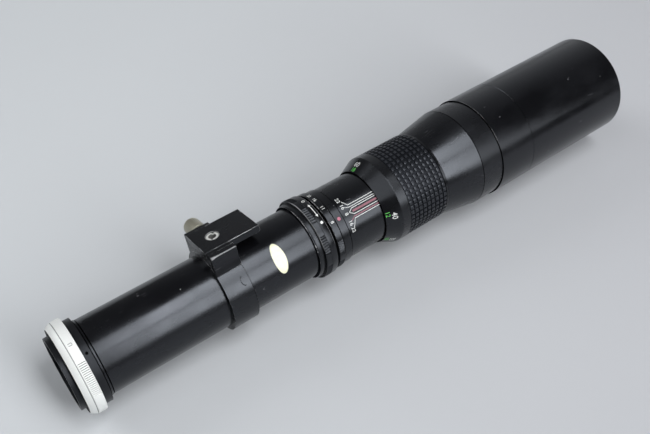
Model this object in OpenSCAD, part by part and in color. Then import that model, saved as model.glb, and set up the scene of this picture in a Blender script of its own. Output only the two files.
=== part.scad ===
// Long telephoto lens with a breech-lock adapter, a rotating tripod collar,
// preset aperture rings and a deep hood. The X axis is the optical axis and points to the subject.
// The origin is the centre of the rear mounting flange, and Z is up as the lens lies on a table.
// Angles round the axis are counted from +Y towards +Z.

/* [Rear mount] */
// Diameter of the bayonet spigot that enters the camera
spigot_d = 50.4; // [49:0.1:54]
// How far the spigot stands out behind the flange
spigot_reach = 3.5; // [2:0.1:6]
// Wall of the spigot
spigot_wall = 2.8; // [2:0.1:3.2]
// Step from the spigot down to the journal of the breech ring
journal_step = 0.3; // [0.2:0.05:0.6]
// Height of the breech ring's knurl above the spigot
breech_rise = 6.9; // [6:0.1:10]
// Length of the breech ring
breech_len = 10.6; // [8:0.1:14]
// Length of the tapered rear band of the breech ring
breech_band = 3.9; // [2.5:0.1:5]
// Drop of the rear band at its rear edge
breech_taper = 2.5; // [1.5:0.1:3]
// Width of the groove between the two bands
breech_groove = 0.5; // [0.3:0.1:0.8]
// Thickness of the plate that keeps the breech ring on
plate_thick = 0.9; // [0.6:0.1:1.5]
// Rim of the breech ring round the plate
plate_rim = 0.5; // [0.3:0.1:1]
// Angle through which the breech ring turns to lock
breech_swing = 60; // [45:1:75]
// Height of the black adapter ring above the spigot
adapter_rise = 4; // [3:0.1:6]
// Length of the black adapter ring
adapter_len = 4.9; // [4.5:0.1:7]
// Wall of the ring that holds the adapter's 42 mm thread
thread_ring_wall = 2.6; // [2:0.1:3.5]
// Length of that thread
thread_len = 4.2; // [3.6:0.1:4.4]
// Wall of the lens tube behind the thread
thread_wall = 2; // [1.5:0.1:3]
// Seat of the threaded ring, wider than the bore of the spigot
thread_ring_seat = 1.2; // [0.8:0.1:1.6]
// Diameter of the set screws in the adapter
set_screw_d = 1.9; // [1.4:0.1:2.4]
// Angle of the first set screw
set_screw_angle = 117; // [0:1:360]

/* [Rear tube] */
// Diameter of the rear tube
tube_d = 52.4; // [50:0.1:56]
// Length of the rear tube between its shoulder and the lip ring
tube_len = 156.6; // [150:0.1:175]
// Wall of the rear tube
tube_wall = 2.6; // [2.2:0.1:3.2]
// Length of the shoulder against the adapter
shoulder_len = 1.9; // [1.2:0.1:3]
// Rise of the shoulder above the tube
shoulder_rise = 0.4; // [0.2:0.1:1]
// Width of the two grooves that part the adapter, the shoulder and the tube
part_groove_w = 0.8; // [0.4:0.1:0.9]
// Depth of those grooves below the tube
part_groove = 0.5; // [0.2:0.1:0.8]
// Thickness of the web between the thread and the tube
web_thick = 4; // [2.5:0.1:6]
// Step down to the front spigot of the tube
tube_step = 1; // [0.7:0.1:1.3]

/* [Tripod collar] */
// Distance from the tube's shoulder to the collar
collar_offset = 86.5; // [60:0.1:100]
// Length of the collar along the tube
collar_len = 18.5; // [17:0.1:24]
// Wall of the collar ring
collar_wall = 3.35; // [3:0.05:5]
// Direction in which the foot points
foot_angle = 72.7; // [0:0.1:360]
// Width of the block that carries the foot
block_w = 39.2; // [37:0.1:44]
// How far the ring's faces stand proud of the block's
block_inset = 0.1; // [0.05:0.05:0.4]
// Height of the foot's face above the tube
foot_rise = 11.2; // [9:0.1:18]
// Length of the foot plate
plate_len = 40.5; // [34:0.1:60]
// Width of the foot plate
plate_w = 28.3; // [22:0.1:29]
// Thickness of the foot plate
plate_t = 4.9; // [4:0.1:5.2]
// Lip of the block beside the foot plate, on the thumbscrew's side
plate_lip = 2.6; // [1:0.1:4]
// Width of the saw cut that lets the collar close
slit_w = 0.6; // [0.4:0.1:1.5]
// Thickness of the ear beyond the saw cut
ear_t = 4.1; // [3.5:0.1:5]
// Distance from the collar's rear face to the tripod bush
bush_offset = 12.8; // [10:0.1:13]
// Outside diameter of the steel tripod bush, a 3/8 inch thread
bush_d = 9.52; // [8:0.01:10]
// Diameter of the hole in the bush, tapped for a 1/4 inch screw
bush_bore = 5.2; // [4.8:0.01:6.4]
// Width of the screwdriver slot in the bush
bush_slot = 1.4; // [1:0.1:2]
// Depth of that slot
bush_slot_depth = 0.7; // [0.4:0.1:1.2]
// Angle of that slot from straight across the foot
bush_turn = 32; // [0:1:90]
// How far the bush lies below the foot's face
bush_sink = 0.4; // [0:0.1:0.8]
// Diameter of the thumbscrew's shank
clamp_d = 4; // [3:0.1:4.2]
// Diameter of the thumbscrew's knurled head
clamp_head_d = 12.4; // [9:0.1:15]
// Length of the thumbscrew's knurled head
clamp_head_len = 13.5; // [8:0.1:18]
// Diameter of the thumbscrew's neck
clamp_neck_d = 7; // [6:0.1:9]
// Length of the neck between the block and the head
clamp_neck_len = 4; // [2:0.1:6]
// Bevel of the head's rear edge
clamp_bevel = 0.4; // [0.2:0.1:0.8]
// Rounding of the head's outer end
clamp_round = 0.8; // [0.4:0.1:1.5]
// Height of the thumbscrew as a share of the metal between the tube and the foot plate
clamp_share = 0.555; // [0.5:0.005:0.6]
// Distance from the collar's rear face to the thumbscrew
clamp_offset = 12.3; // [11:0.1:13]
// Diameter of the two screws under the foot plate
foot_screw_d = 3; // [2:0.1:3]
// Diameter of their heads
foot_screw_head_d = 5; // [4:0.1:5.4]
// Thickness of their heads
foot_screw_head = 1.8; // [1.2:0.1:2]
// Distance from the tube to those heads
foot_screw_clear = 1.2; // [0.6:0.1:1.4]
// Distance between the two screws
foot_screw_gap = 13; // [9:0.1:15]
// Distance from the collar's rear face to the screws
foot_screw_offset = 5; // [4:0.1:6]
// Diameter of the screw that keeps the collar in its groove
guide_d = 3; // [2:0.1:4]
// Depth of the groove that the screw runs in
guide_groove = 0.5; // [0.3:0.1:0.8]

/* [Inspection sticker] */
// Distance from the collar's front face to the sticker
sticker_offset = 20.8; // [14:0.1:25]
// Width of the oval sticker along the tube
sticker_w = 9.2; // [6:0.1:14]
// Height of the oval sticker, seen flat
sticker_h = 21.6; // [12:0.1:26]
// Thickness of the sticker
sticker_t = 0.12; // [0.08:0.01:0.3]
// Angle of the sticker's centre
sticker_angle = 132; // [0:1:360]

/* [Aperture rings] */
// Length of the lip ring behind the rings
lip_len = 4; // [3:0.1:6]
// Rise of the lip ring above the tube
lip_rise = 2; // [1.7:0.1:2.4]
// Rounding of the lip ring
lip_round = 1; // [0.5:0.1:1.4]
// Length of the open and close ring
open_ring_len = 9.3; // [8.6:0.1:11]
// Length of its knurled rear band
open_band = 4.3; // [3:0.1:5]
// Wall of the open and close ring
open_ring_wall = 1.35; // [1:0.05:2]
// Rise of its seat above the lip ring
seat_rise = 0.8; // [0.6:0.05:1.2]
// Dark gap between the two rings
ring_gap = 2.3; // [1.6:0.1:3.5]
// Length of the preset ring
preset_len = 4.9; // [4:0.1:7]
// Wall of the preset ring
preset_wall = 2.3; // [1.9:0.1:3]
// Step from the iris housing down to the seat of the preset ring
preset_step = 2.15; // [1.8:0.05:2.3]
// Gap between the preset ring and the index ring
index_gap = 0.8; // [0.3:0.1:1.5]
// Length of the index ring
index_len = 5.7; // [4:0.1:8]
// Wall of the index ring
index_wall = 1.4; // [0.6:0.05:1.8]
// Angle of the index dot and the scale's centre line
index_angle = 123.7; // [0:0.1:360]
// Diameter of the index dot
dot_d = 2.7; // [1.5:0.1:3.5]
// Angle from the largest to the smallest stop
stop_swing = 55.8; // [50:0.1:58]
// Diameter of the click ball
ball_d = 1.2; // [0.8:0.1:1.3]
// Angle of the click ball round the barrel
ball_angle = 300; // [0:1:360]
// Bore of the ball as a share of the barrel's wall
ball_bore_share = 0.8; // [0.6:0.05:0.9]
// Angle from the largest stop to f/11
stop_11_angle = 24.5; // [20:0.1:28]
// Angle from the largest stop to f/16
stop_16_angle = 42.9; // [38:0.1:46]

/* [Iris] */
// Number of iris blades
blade_count = 8; // [8:1:8]
// Wall of the barrel round the iris
iris_wall = 1; // [0.8:0.05:1.2]
// Distance from that wall to the blades' pivots
pivot_inset = 2.7; // [2.6:0.05:2.8]
// Distance from the blades' outer edge to their pivots
pivot_gap = 1.3; // [1.2:0.05:1.4]
// Width of a blade
blade_w = 5.6; // [5:0.1:6]
// Angle by which a blade's crescent starts before its pivot
blade_start = 2; // [1.9:0.1:4]
// Thickness of a blade
blade_t = 0.2; // [0.1:0.05:0.22]
// Distance from one blade's level to the next
blade_pitch = 0.3; // [0.26:0.01:0.32]
// Distance from a blade's pivot to its driving pin
lever_len = 5; // [4.8:0.1:5.2]
// Diameter of the driving pins
drive_pin_d = 1; // [0.8:0.05:1]
// Diameter of the pivot pins
pivot_pin_d = 1.6; // [1:0.1:1.8]
// Smallest stop over the largest, f/8 over f/22
smallest_stop_share = 0.364; // [0.3:0.001:0.6]
// Thickness of the plate that carries the pivots
pivot_plate_t = 1; // [0.8:0.1:1.2]
// Thickness of the slotted driving ring
cam_t = 2.9; // [2.6:0.1:3]
// Depth of the slots in the driving ring
cam_slot_depth = 0.8; // [0.6:0.1:1]
// Diameter of the screw that joins the driving ring to the open and close ring
cam_screw_d = 1.6; // [1.2:0.1:1.8]
// Angle of that screw round the barrel
cam_screw_angle = 250; // [0:1:360]

/* [Scale barrel] */
// Length of the thread that joins the main barrel and the scale barrel
scale_joint = 13; // [8:0.1:20]
// Skin of the scale barrel over that thread
scale_skin = 0.6; // [0.5:0.05:1]
// Gap between the index ring and the scale barrel
scale_gap = 0.9; // [0.3:0.1:1.2]
// Wall of the main barrel inside that thread
main_wall = 1.55; // [1.5:0.05:2]
// Distance from the index ring to the helicoid land
land_offset = 44.8; // [42:0.1:46]
// Rise of the land above the scale barrel
land_rise = 1; // [0.8:0.1:1.5]
// Length of the land
land_len = 54; // [52:0.1:56]
// Wall of the scale barrel under the land
land_wall = 1.7; // [1.5:0.1:2.5]
// Wall of the scale barrel under its scale
scale_wall = 1.5; // [1.2:0.1:2.5]
// Diameter of the two guide screws
key_d = 3; // [2:0.1:3.4]
// How far they stand into the front barrel's grooves
key_reach = 1; // [0.7:0.1:1.1]
// Distance from the index ring to the guide screws
key_offset = 83.9; // [83:0.1:85]

/* [Focusing] */
// Focusing travel from here towards the far end
travel_in = 19; // [10:0.1:19]
// Focusing travel from here towards the near end
travel_out = 7.3; // [4:0.1:7.5]
// Distance from the index ring to the skirt's rear edge
skirt_offset = 30.3; // [28:0.1:31]
// Length of the conical skirt
skirt_len = 11.2; // [9:0.1:13]
// Length of the smooth band behind the grip
band_len = 7.1; // [5:0.1:9]
// Length of the rubber grip
grip_len = 34.8; // [32:0.1:36]
// Length of the rim in front of the grip
rim_len = 1.8; // [1.2:0.1:2.5]
// Drop of the rim below the grip
rim_drop = 0.3; // [0.1:0.1:0.8]
// Thickness of the rubber grip
grip_t = 1.55; // [1.2:0.05:2.2]
// Wall of the focus ring under the grip
ring_wall = 1.3; // [1:0.1:2]
// Wall of the skirt
skirt_wall = 0.9; // [0.6:0.1:1.2]
// Gap between the skirt's edge and the scale barrel
skirt_gap = 0.9; // [0.3:0.1:1.2]
// Thickness of the skirt's edge
skirt_edge = 0.4; // [0.3:0.1:0.6]
// Wall of the brass helicoid nut
nut_wall = 2.8; // [2.4:0.1:3.5]
// Length of the helicoid nut
nut_len = 18; // [14:0.1:20]
// Length of the focus ring's bearing on the front barrel
bearing_len = 9; // [6:0.1:10]
// Wall of the front barrel's sleeve in that bearing
sleeve_wall = 1.95; // [1.8:0.05:2.3]
// Thickness of the ring that keeps the focus ring on
keeper_t = 1.6; // [1:0.1:2]
// Rise of that ring above the sleeve
keeper_rise = 0.6; // [0.4:0.1:0.7]
// Number of grooves round the rubber grip
grip_grooves = 8; // [4:1:12]
// Width of a groove in the rubber grip
grip_groove_w = 1.2; // [0.6:0.1:1.6]
// Depth of a groove in the rubber grip
grip_groove_d = 0.8; // [0.4:0.1:1]

/* [Front barrel] */
// Length of the cone in front of the grip
cone_len = 30.5; // [28:0.1:38]
// Drop of the cone's rear end below the grip
cone_drop = 0.5; // [0.2:0.1:1]
// Rise of the cone from its rear to its front
cone_rise = 5.3; // [5:0.1:7]
// Length of the plain barrel in front of the cone
plain_len = 19.1; // [15:0.1:25]
// Wall of the front barrel
front_wall = 2.2; // [1.8:0.1:2.6]
// Length of the joints between the front pieces
joint_len = 8; // [6:0.1:8.5]
// Wall of the front barrel's joint
joint_wall = 1.6; // [1.2:0.1:2]
// Thickness of the light baffle in the cone
baffle_t = 1.5; // [1:0.1:2.5]
// Width and depth of the fine groove at each seam
seam_w = 0.3; // [0.2:0.05:0.5]
// Depth of the light baffle in the cone
front_baffle_w = 6.6; // [4:0.1:8]

/* [Front optics] */
// Length of the front cell
cell_len = 32.3; // [31:0.1:38]
// Rise of the front cell above the front barrel
cell_rise = 0.8; // [0.3:0.1:1.2]
// Wall of the front cell round the glass
cell_wall = 3.6; // [3:0.1:4.5]
// Thickness of the shoulder behind the glass
cell_shoulder = 2.6; // [2:0.1:4]
// Bearing of the glass on that shoulder
glass_seat = 3.6; // [2:0.1:4]
// Thickness of the front crown element
crown_t = 9; // [8:0.1:9.5]
// Thickness of the front flint element
flint_t = 4; // [3:0.1:4.5]
// Bulge of the front glass at its rim
glass_bulge = 2.6; // [2:0.1:3]
// Thickness of the foil spacer between the two elements
foil_t = 0.2; // [0.15:0.05:0.4]
// Width of the foil spacer
foil_w = 1.5; // [1:0.1:2]
// Thickness of the ring that holds the glass
holder_t = 3; // [2:0.1:3.4]
// Width of the ring that holds the glass
holder_w = 3.2; // [2:0.1:4]

/* [Hood] */
// Length of the hood
hood_len = 100.8; // [60:0.1:130]
// Wall of the hood
hood_wall = 1.5; // [1.2:0.1:2]
// Length of the hood's threaded end
hood_joint = 6; // [4:0.1:6.5]
// Wall of the hood's threaded end
hood_joint_wall = 1.7; // [1.2:0.1:2]
// Radius of the rounded rim
rim_round = 0.6; // [0.3:0.1:0.7]

/* [Rear optics] */
// Distance from the front end of the tube back to the rear cell
rear_cell_back = 26; // [22:0.1:40]
// Length of the rear cell
rear_cell_len = 18; // [16:0.1:22]
// Wall of the rear cell
rear_cell_wall = 3.5; // [2.5:0.1:4.5]
// Lip that the rear glass seats on
rear_seat = 2; // [1:0.1:3]
// Thickness of the first rear element at its centre
rear_glass_a = 3; // [2:0.1:4]
// Thickness of the second rear element at its centre
rear_glass_b = 5; // [4:0.1:6]
// Bulge of the rear glass at its rim
rear_bulge = 1; // [0.5:0.1:1.5]
// Distance from the web to the rear baffle
baffle_offset = 42; // [20:0.1:60]
// Depth of the rear baffle
rear_baffle_w = 5; // [3:0.1:8]

/* [Fits] */
// Radial clearance of a running or a screwed fit
fit = 0.05; // [0.02:0.01:0.1]
// Clearance between faces that turn past each other
face_gap = 0.15; // [0.1:0.01:0.3]

/* [Hidden] */
$fn = 96;
// Overrun of every cut past the face that it opens
over = 1;
// Depth of a screwdriver slot as a share of the screw's diameter
slot_depth_share = 0.25;
// Width of a screwdriver slot as a share of the screw's diameter
slot_width_share = 0.2;
// Points along one side of a curved slot or a curved edge
arc_steps = 28;
// Points along the profile of a lens surface
lens_steps = 12;
// Points round the oval sticker
oval_steps = 48;
// Straight sides round a blade's sector
sector_steps = 8;
// Share of a piece's size that its bevel or margin takes
edge_share = 0.5;

black = "#2c2d31";
dark = "#1d1e21";
silver = "#d6d7d8";
steel = "#b7b8ba";
brass = "#b9973f";
rubber = "#24262b";
cream = "#eeeedd";
red = "#c9485a";
glass = "#9fb4c6";

// Radii, from the rear to the front
spigot_r = spigot_d / 2;
spigot_bore = spigot_r - spigot_wall;
journal_r = spigot_r - journal_step;
breech_r = spigot_r + breech_rise;
plate_r = breech_r - breech_taper - plate_rim;
adapter_r = spigot_r + adapter_rise;
thread_seat_r = spigot_bore + thread_ring_seat;
thread_r = thread_seat_r - thread_ring_wall;
thread_bore = thread_r - thread_wall;
tube_r = tube_d / 2;
tube_bore = tube_r - tube_wall;
tube_joint_r = tube_r - tube_step;
collar_r = tube_r + fit + collar_wall;
lip_r = tube_r + lip_rise;
seat_r = lip_r + seat_rise;
open_ring_r = seat_r + fit + open_ring_wall;
iris_room_r = seat_r - iris_wall;
preset_seat_r = seat_r - preset_step;
preset_r = preset_seat_r + fit + preset_wall;
index_r = preset_seat_r + fit + index_wall;
main_bore = preset_seat_r - main_wall;
scale_r = preset_seat_r + fit + scale_skin;
scale_bore = scale_r - scale_wall;
land_r = scale_r + land_rise;
land_bore = land_r - land_wall;
nut_r = land_r + fit + nut_wall;
ring_bore = nut_r + fit;
ring_r = ring_bore + ring_wall;
grip_r = ring_r + fit + grip_t;
sleeve_r = land_r + fit + sleeve_wall;
sleeve_step_r = sleeve_r - sleeve_wall / 2;
keeper_r = sleeve_r + keeper_rise;
cone_r = grip_r - cone_drop;
front_r = cone_r + cone_rise;
front_joint_r = front_r - joint_wall;
cell_r = front_r + cell_rise;
glass_r = cell_r - cell_wall - fit;
hood_joint_r = cell_r - joint_wall;
rear_cell_r = tube_bore - fit;
rear_glass_r = rear_cell_r - rear_cell_wall;

// Places along the axis, from the flange forward
adapter_x = breech_len + adapter_len;
tube_x = adapter_x + shoulder_len;
tube_front = tube_x + tube_len;
collar_x = tube_x + collar_offset;
collar_front = collar_x + collar_len;
collar_mid = collar_x + collar_len / 2;
lip_front = tube_front + lip_len;
open_x = lip_front + face_gap;
open_front = open_x + open_ring_len;
preset_x = open_front + ring_gap;
preset_front = preset_x + preset_len;
index_x = preset_front + index_gap;
index_front = index_x + index_len;
land_x = index_front + land_offset;
land_front = land_x + land_len;
key_x = index_front + key_offset;
skirt_x = index_front + skirt_offset;
crease_x = skirt_x + skirt_len;
grip_x = crease_x + band_len;
rim_x = grip_x + grip_len;
ring_front = rim_x + rim_len;
cone_x = ring_front + face_gap;
cone_front = cone_x + cone_len;
cell_x = cone_front + plain_len;
cell_front = cell_x + cell_len;
hood_front = cell_front + hood_len;
bearing_x = ring_front - bearing_len;
keeper_x = bearing_x - face_gap - keeper_t;
nut_x = keeper_x - face_gap - key_reach - nut_len;
sleeve_front = key_x + travel_in + key_d;

// The iris, between the lip ring's joint and the wall behind the preset ring
housing_front = preset_x - face_gap;
pivot_plate_front = housing_front - pivot_plate_t;
pivot_plate_x = pivot_plate_front - pivot_plate_t;
blades_x = pivot_plate_x - face_gap - blade_count * blade_pitch;
cam_front = blades_x - face_gap;
cam_x = cam_front - cam_t;
lip_joint_front = cam_x - face_gap;
cam_mid = cam_front - cam_slot_depth - (cam_t - cam_slot_depth) / 2;
cam_r = iris_room_r - fit;
pivot_r = iris_room_r - pivot_inset;
blade_out_r = pivot_r - pivot_gap;
blade_in_r = blade_out_r - blade_w;
closed_r = blade_in_r * smallest_stop_share;
blade_swing = 2 * asin((blade_in_r - closed_r) / (2 * pivot_r));
blade_reach = 90 + 180 / blade_count + blade_swing / 4;
pin_reach = drive_pin_d / 2 + drive_pin_d * edge_share / 2;
cam_slot_half = drive_pin_d / 2 + fit;

// The glass, from the shoulder of the front cell forward
shoulder_x = cell_x + joint_len + face_gap;
flint_x = shoulder_x + cell_shoulder;
foil_x = flint_x + flint_t + glass_bulge;
crown_x = foil_x + foil_t - glass_bulge;
glass_front = crown_x + crown_t - glass_bulge;
hood_x = cell_front - hood_joint;

// The rear glass, in its cell
rear_cell_x = tube_front - rear_cell_back;
rear_a_x = rear_cell_x + rear_seat;
rear_b_x = rear_a_x + rear_glass_a + 2 * rear_bulge + face_gap;
rear_holder_x = rear_b_x + rear_glass_b;

// The foot, in axes with z towards the foot's face and y towards the thumbscrew
foot_h = tube_r + foot_rise;
clamp_h = tube_r + (foot_rise - plate_t) * clamp_share;
block_x = collar_x + block_inset;
block_len = collar_len - 2 * block_inset;
plate_y = block_w / 2 - plate_lip - plate_w;
plate_mid_y = plate_y + plate_w / 2;
slit_y = ear_t - block_w / 2;
bush_x = collar_x + bush_offset;
clamp_x = collar_x + clamp_offset;
foot_screw_x = collar_x + foot_screw_offset;
foot_screw_z = tube_r + foot_screw_clear;

// Draws along the axis: local x, y and z become Y, Z and X
module along(x) {
    translate([x, 0, 0]) rotate([90, 0, 90]) children();
}

// Draws outward from the axis at an angle: local z is outward and local x is forward
module outward(x, angle) {
    translate([x, 0, 0]) rotate([angle - 90, 0, 0]) children();
}

// Solid of revolution round the axis, from points of radius and place
module revolved(points) {
    along(0) rotate_extrude() polygon(points);
}

module rod(from, to, r) {
    along(from) cylinder(h = to - from, r = r);
}

module bore(from, to, r) {
    rod(from - over, to + over, r);
}

module tube(from, to, r_out, r_in) {
    difference() {
        rod(from, to, r_out);
        bore(from, to, r_in);
    }
}

// Plain cylinder outward from the axis, between two radii
module stud(x, angle, from, to, d) {
    outward(x, angle) translate([0, 0, from]) cylinder(h = to - from, r = d / 2);
}

// Headless screw with a driver slot in its outer end
module grub_screw(x, angle, from, to, d) {
    difference() {
        stud(x, angle, from, to, d);
        outward(x, angle)
            translate([-d, -d * slot_width_share / 2, to - d * slot_depth_share])
                cube([2 * d, d * slot_width_share, d]);
    }
}

// Profile of a glass disc: a positive bulge is convex, a negative one is hollow
function lens_profile(from, to, r, rear, front) = concat(
    [for (i = [0 : lens_steps]) [r * i / lens_steps, from + rear * pow(i / lens_steps, 2)]],
    [for (i = [lens_steps : -1 : 0]) [r * i / lens_steps, to - front * pow(i / lens_steps, 2)]]
);

// Rear mount

module adapter_ring() {
    color(black) difference() {
        union() {
            rod(-spigot_reach, 0, spigot_r);
            rod(0, breech_len, journal_r);
            rod(breech_len, adapter_x, adapter_r);
        }
        bore(-spigot_reach, adapter_x, spigot_bore);
        bore(adapter_x - thread_len - face_gap + over, adapter_x, thread_seat_r);
        for (i = [0 : 2])
            stud(adapter_x - adapter_len / 2, set_screw_angle + 120 * i, spigot_bore,
                adapter_r + over, set_screw_d + 2 * fit);
    }
}

module bayonet_plate() {
    color(dark) tube(0, plate_thick, plate_r, journal_r + fit);
}

module thread_ring() {
    color(black) tube(adapter_x - thread_len - face_gap, adapter_x, thread_seat_r - fit, thread_r);
}

module adapter_set_screws() {
    color(steel) for (i = [0 : 2])
        grub_screw(adapter_x - adapter_len / 2, set_screw_angle + 120 * i, thread_seat_r,
            adapter_r - set_screw_d * slot_width_share, set_screw_d);
}

module breech_ring() {
    color(silver) difference() {
        revolved([
            [journal_r + fit, plate_thick + face_gap],
            [plate_r + face_gap, plate_thick + face_gap],
            [plate_r + face_gap, 0],
            [breech_r - breech_taper, 0],
            [breech_r - breech_groove / 2, breech_band],
            [breech_r - breech_groove, breech_band],
            [breech_r - breech_groove, breech_band + breech_groove],
            [breech_r, breech_band + 2 * breech_groove],
            [breech_r, breech_len - breech_groove],
            [breech_r - breech_groove, breech_len - face_gap],
            [journal_r + fit, breech_len - face_gap]
        ]);
    }
}

// Rear tube and what it holds

module rear_tube() {
    color(black) difference() {
        union() {
            rod(adapter_x - thread_len, adapter_x, thread_r - fit);
            rod(adapter_x, tube_x, tube_r + shoulder_rise);
            rod(tube_x, tube_front, tube_r);
            rod(tube_front, lip_joint_front, tube_joint_r);
        }
        bore(adapter_x - thread_len, lip_joint_front, thread_bore);
        bore(adapter_x + web_thick + over, lip_joint_front, tube_bore);
        for (x = [adapter_x, tube_x])
            tube(x, x + part_groove_w, tube_r + shoulder_rise + over, tube_r - part_groove);
        tube(collar_mid - guide_d / 2 - 2 * face_gap, collar_mid + guide_d / 2 + 2 * face_gap,
            tube_r + over, tube_r - guide_groove);
    }
}

module rear_baffle() {
    x = adapter_x + web_thick + baffle_offset;
    color(dark) tube(x, x + baffle_t, tube_bore - fit, tube_bore - rear_baffle_w);
}

module rear_cell() {
    color(dark) difference() {
        rod(rear_cell_x, rear_cell_x + rear_cell_len, rear_cell_r);
        bore(rear_cell_x, rear_cell_x + rear_cell_len, rear_glass_r - rear_seat);
        bore(rear_a_x + over, rear_cell_x + rear_cell_len, rear_glass_r + fit);
    }
}

module rear_element_a() {
    color(glass) revolved(lens_profile(rear_a_x + rear_bulge, rear_a_x + rear_bulge + rear_glass_a,
        rear_glass_r, -rear_bulge, -rear_bulge));
}

module rear_element_b() {
    color(glass) revolved(lens_profile(rear_b_x, rear_b_x + rear_glass_b,
        rear_glass_r, 0, rear_bulge));
}

module rear_holder() {
    glass_drop = rear_bulge * pow(1 - rear_seat / rear_glass_r, 2);
    color(dark) tube(rear_holder_x - glass_drop + fit, rear_cell_x + rear_cell_len,
        rear_glass_r, rear_glass_r - rear_seat);
}

module inspection_sticker() {
    color(cream) intersection() {
        tube(collar_front, tube_front, tube_r + fit / 2 + sticker_t, tube_r + fit / 2);
        outward(collar_front + sticker_offset + sticker_w / 2, sticker_angle)
            linear_extrude(height = 2 * tube_r)
                polygon([for (i = [1 : oval_steps])
                    [cos(360 * i / oval_steps) * sticker_w / 2, sin(360 * i / oval_steps) * sticker_h / 2]]);
    }
}

// Barrel under the aperture rings

module lip_ring() {
    color(black) difference() {
        union() {
            revolved([
                [0, tube_front],
                [lip_r - lip_round, tube_front],
                [lip_r - lip_round / 4, tube_front + lip_round / 4],
                [lip_r, tube_front + lip_round],
                [lip_r, lip_front],
                [0, lip_front]
            ]);
            rod(tube_front, lip_joint_front, iris_room_r - fit);
        }
        bore(tube_front, lip_joint_front, tube_joint_r + fit);
    }
}

module main_barrel() {
    joint_front = index_front + scale_joint;
    slot_mid = cam_screw_angle + stop_swing / 2;
    color(black) difference() {
        union() {
            rod(lip_front, housing_front, seat_r);
            rod(housing_front, joint_front, preset_seat_r);
        }
        bore(lip_front, joint_front, main_bore);
        rod(lip_front - over, pivot_plate_front, iris_room_r);
        intersection() {
            tube(cam_mid - cam_screw_d / 2 - fit, cam_mid + cam_screw_d / 2 + fit,
                seat_r + over, iris_room_r - over);
            for (side = [-1, 1])
                outward(cam_mid, slot_mid + side * stop_swing / 4)
                    linear_extrude(height = 2 * seat_r)
                        square([2 * cam_screw_d, cam_arc_w()], center = true);
        }
        stud(preset_x + preset_len / 2, ball_angle, preset_seat_r - main_wall * ball_bore_share,
            preset_seat_r + over, ball_d + 2 * fit);
    }
}

// Width that one half of the driving screw's arc takes across the barrel
function cam_arc_w() = 2 * seat_r * sin(stop_swing / 4) + cam_screw_d + 2 * fit;

module click_ball() {
    color(steel) outward(preset_x + preset_len / 2, ball_angle)
        translate([0, 0, preset_seat_r]) sphere(r = ball_d / 2);
}

module click_spring() {
    from = preset_seat_r - main_wall * ball_bore_share;
    color(steel) difference() {
        stud(preset_x + preset_len / 2, ball_angle, from, preset_seat_r - ball_d / 2, ball_d - 2 * fit);
        stud(preset_x + preset_len / 2, ball_angle, from - over, preset_seat_r, ball_d / 2);
    }
}

module index_ring() {
    color(black) difference() {
        tube(index_x, index_front - fit, index_r, preset_seat_r + fit);
        stud(index_x + index_len / 2, index_angle, index_r - index_wall / 2, index_r + over, dot_d);
    }
}

module index_dot() {
    color(red) stud(index_x + index_len / 2, index_angle, index_r - index_wall / 2, index_r, dot_d - 2 * fit);
}

module scale_barrel() {
    joint_front = index_front + scale_joint;
    color(black) difference() {
        union() {
            rod(index_front + scale_gap, land_x, scale_r);
            rod(land_x, land_front, land_r);
        }
        rod(index_front + scale_gap - over, joint_front + fit, preset_seat_r + fit);
        bore(joint_front, land_front, scale_bore);
        rod(land_x + over, land_front + over, land_bore);
        for (side = [0, 180]) stud(key_x, side, land_bore - over, land_r + over, key_d);
    }
}

module guide_screws() {
    color(steel) for (side = [0, 180])
        grub_screw(key_x, side, land_bore + fit, land_r + key_reach, key_d - 2 * fit);
}

// Iris

// Place of a blade's driving pin when the open and close ring has turned by an angle
function pin_at(turn) = let (lever = blade_swing * (turn / stop_swing - 0.5) - 90)
    [pivot_r + lever_len * cos(lever), lever_len * sin(lever)];

// The same place, seen from the turning ring
function pin_in_ring(turn) = let (p = pin_at(turn))
    [p.x * cos(turn) + p.y * sin(turn), p.y * cos(turn) - p.x * sin(turn)];

// Direction of the slot's side at one point of its path
function slot_side(turn) = let (
        step = pin_in_ring(turn + stop_swing / arc_steps) - pin_in_ring(turn - stop_swing / arc_steps)
    ) [-step.y, step.x] / norm(step);

module iris_pivot_plate() {
    color(dark) difference() {
        tube(pivot_plate_x, pivot_plate_front, cam_r, blade_in_r);
        for (i = [0 : blade_count - 1]) rotate([360 / blade_count * i, 0, 0])
            translate([0, pivot_r, 0]) bore(pivot_plate_x, pivot_plate_front, pivot_pin_d / 2 + fit);
    }
}

module cam_slot() {
    turns = [for (i = [0 : arc_steps]) stop_swing * i / arc_steps];
    left = [for (t = turns) pin_in_ring(t) + slot_side(t) * cam_slot_half];
    right = [for (t = turns) pin_in_ring(t) - slot_side(t) * cam_slot_half];
    along(cam_front - cam_slot_depth) {
        linear_extrude(height = cam_slot_depth + over)
            polygon(concat(left, [for (i = [arc_steps : -1 : 0]) right[i]]));
        for (t = [0, stop_swing]) translate(pin_in_ring(t))
            cylinder(h = cam_slot_depth + over, r = cam_slot_half);
    }
}

module iris_cam_ring() {
    color(dark) difference() {
        tube(cam_x, cam_front, cam_r, blade_in_r);
        for (i = [0 : blade_count - 1]) rotate([360 / blade_count * i, 0, 0]) cam_slot();
        stud(cam_mid, cam_screw_angle, blade_out_r, cam_r + over, cam_screw_d);
    }
}

// Outer point of a blade's sector, which starts a little before its pivot
function blade_edge(k) = let (turn = blade_reach * k / sector_steps - blade_start)
    2 * blade_out_r * [cos(turn), sin(turn)];

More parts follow.
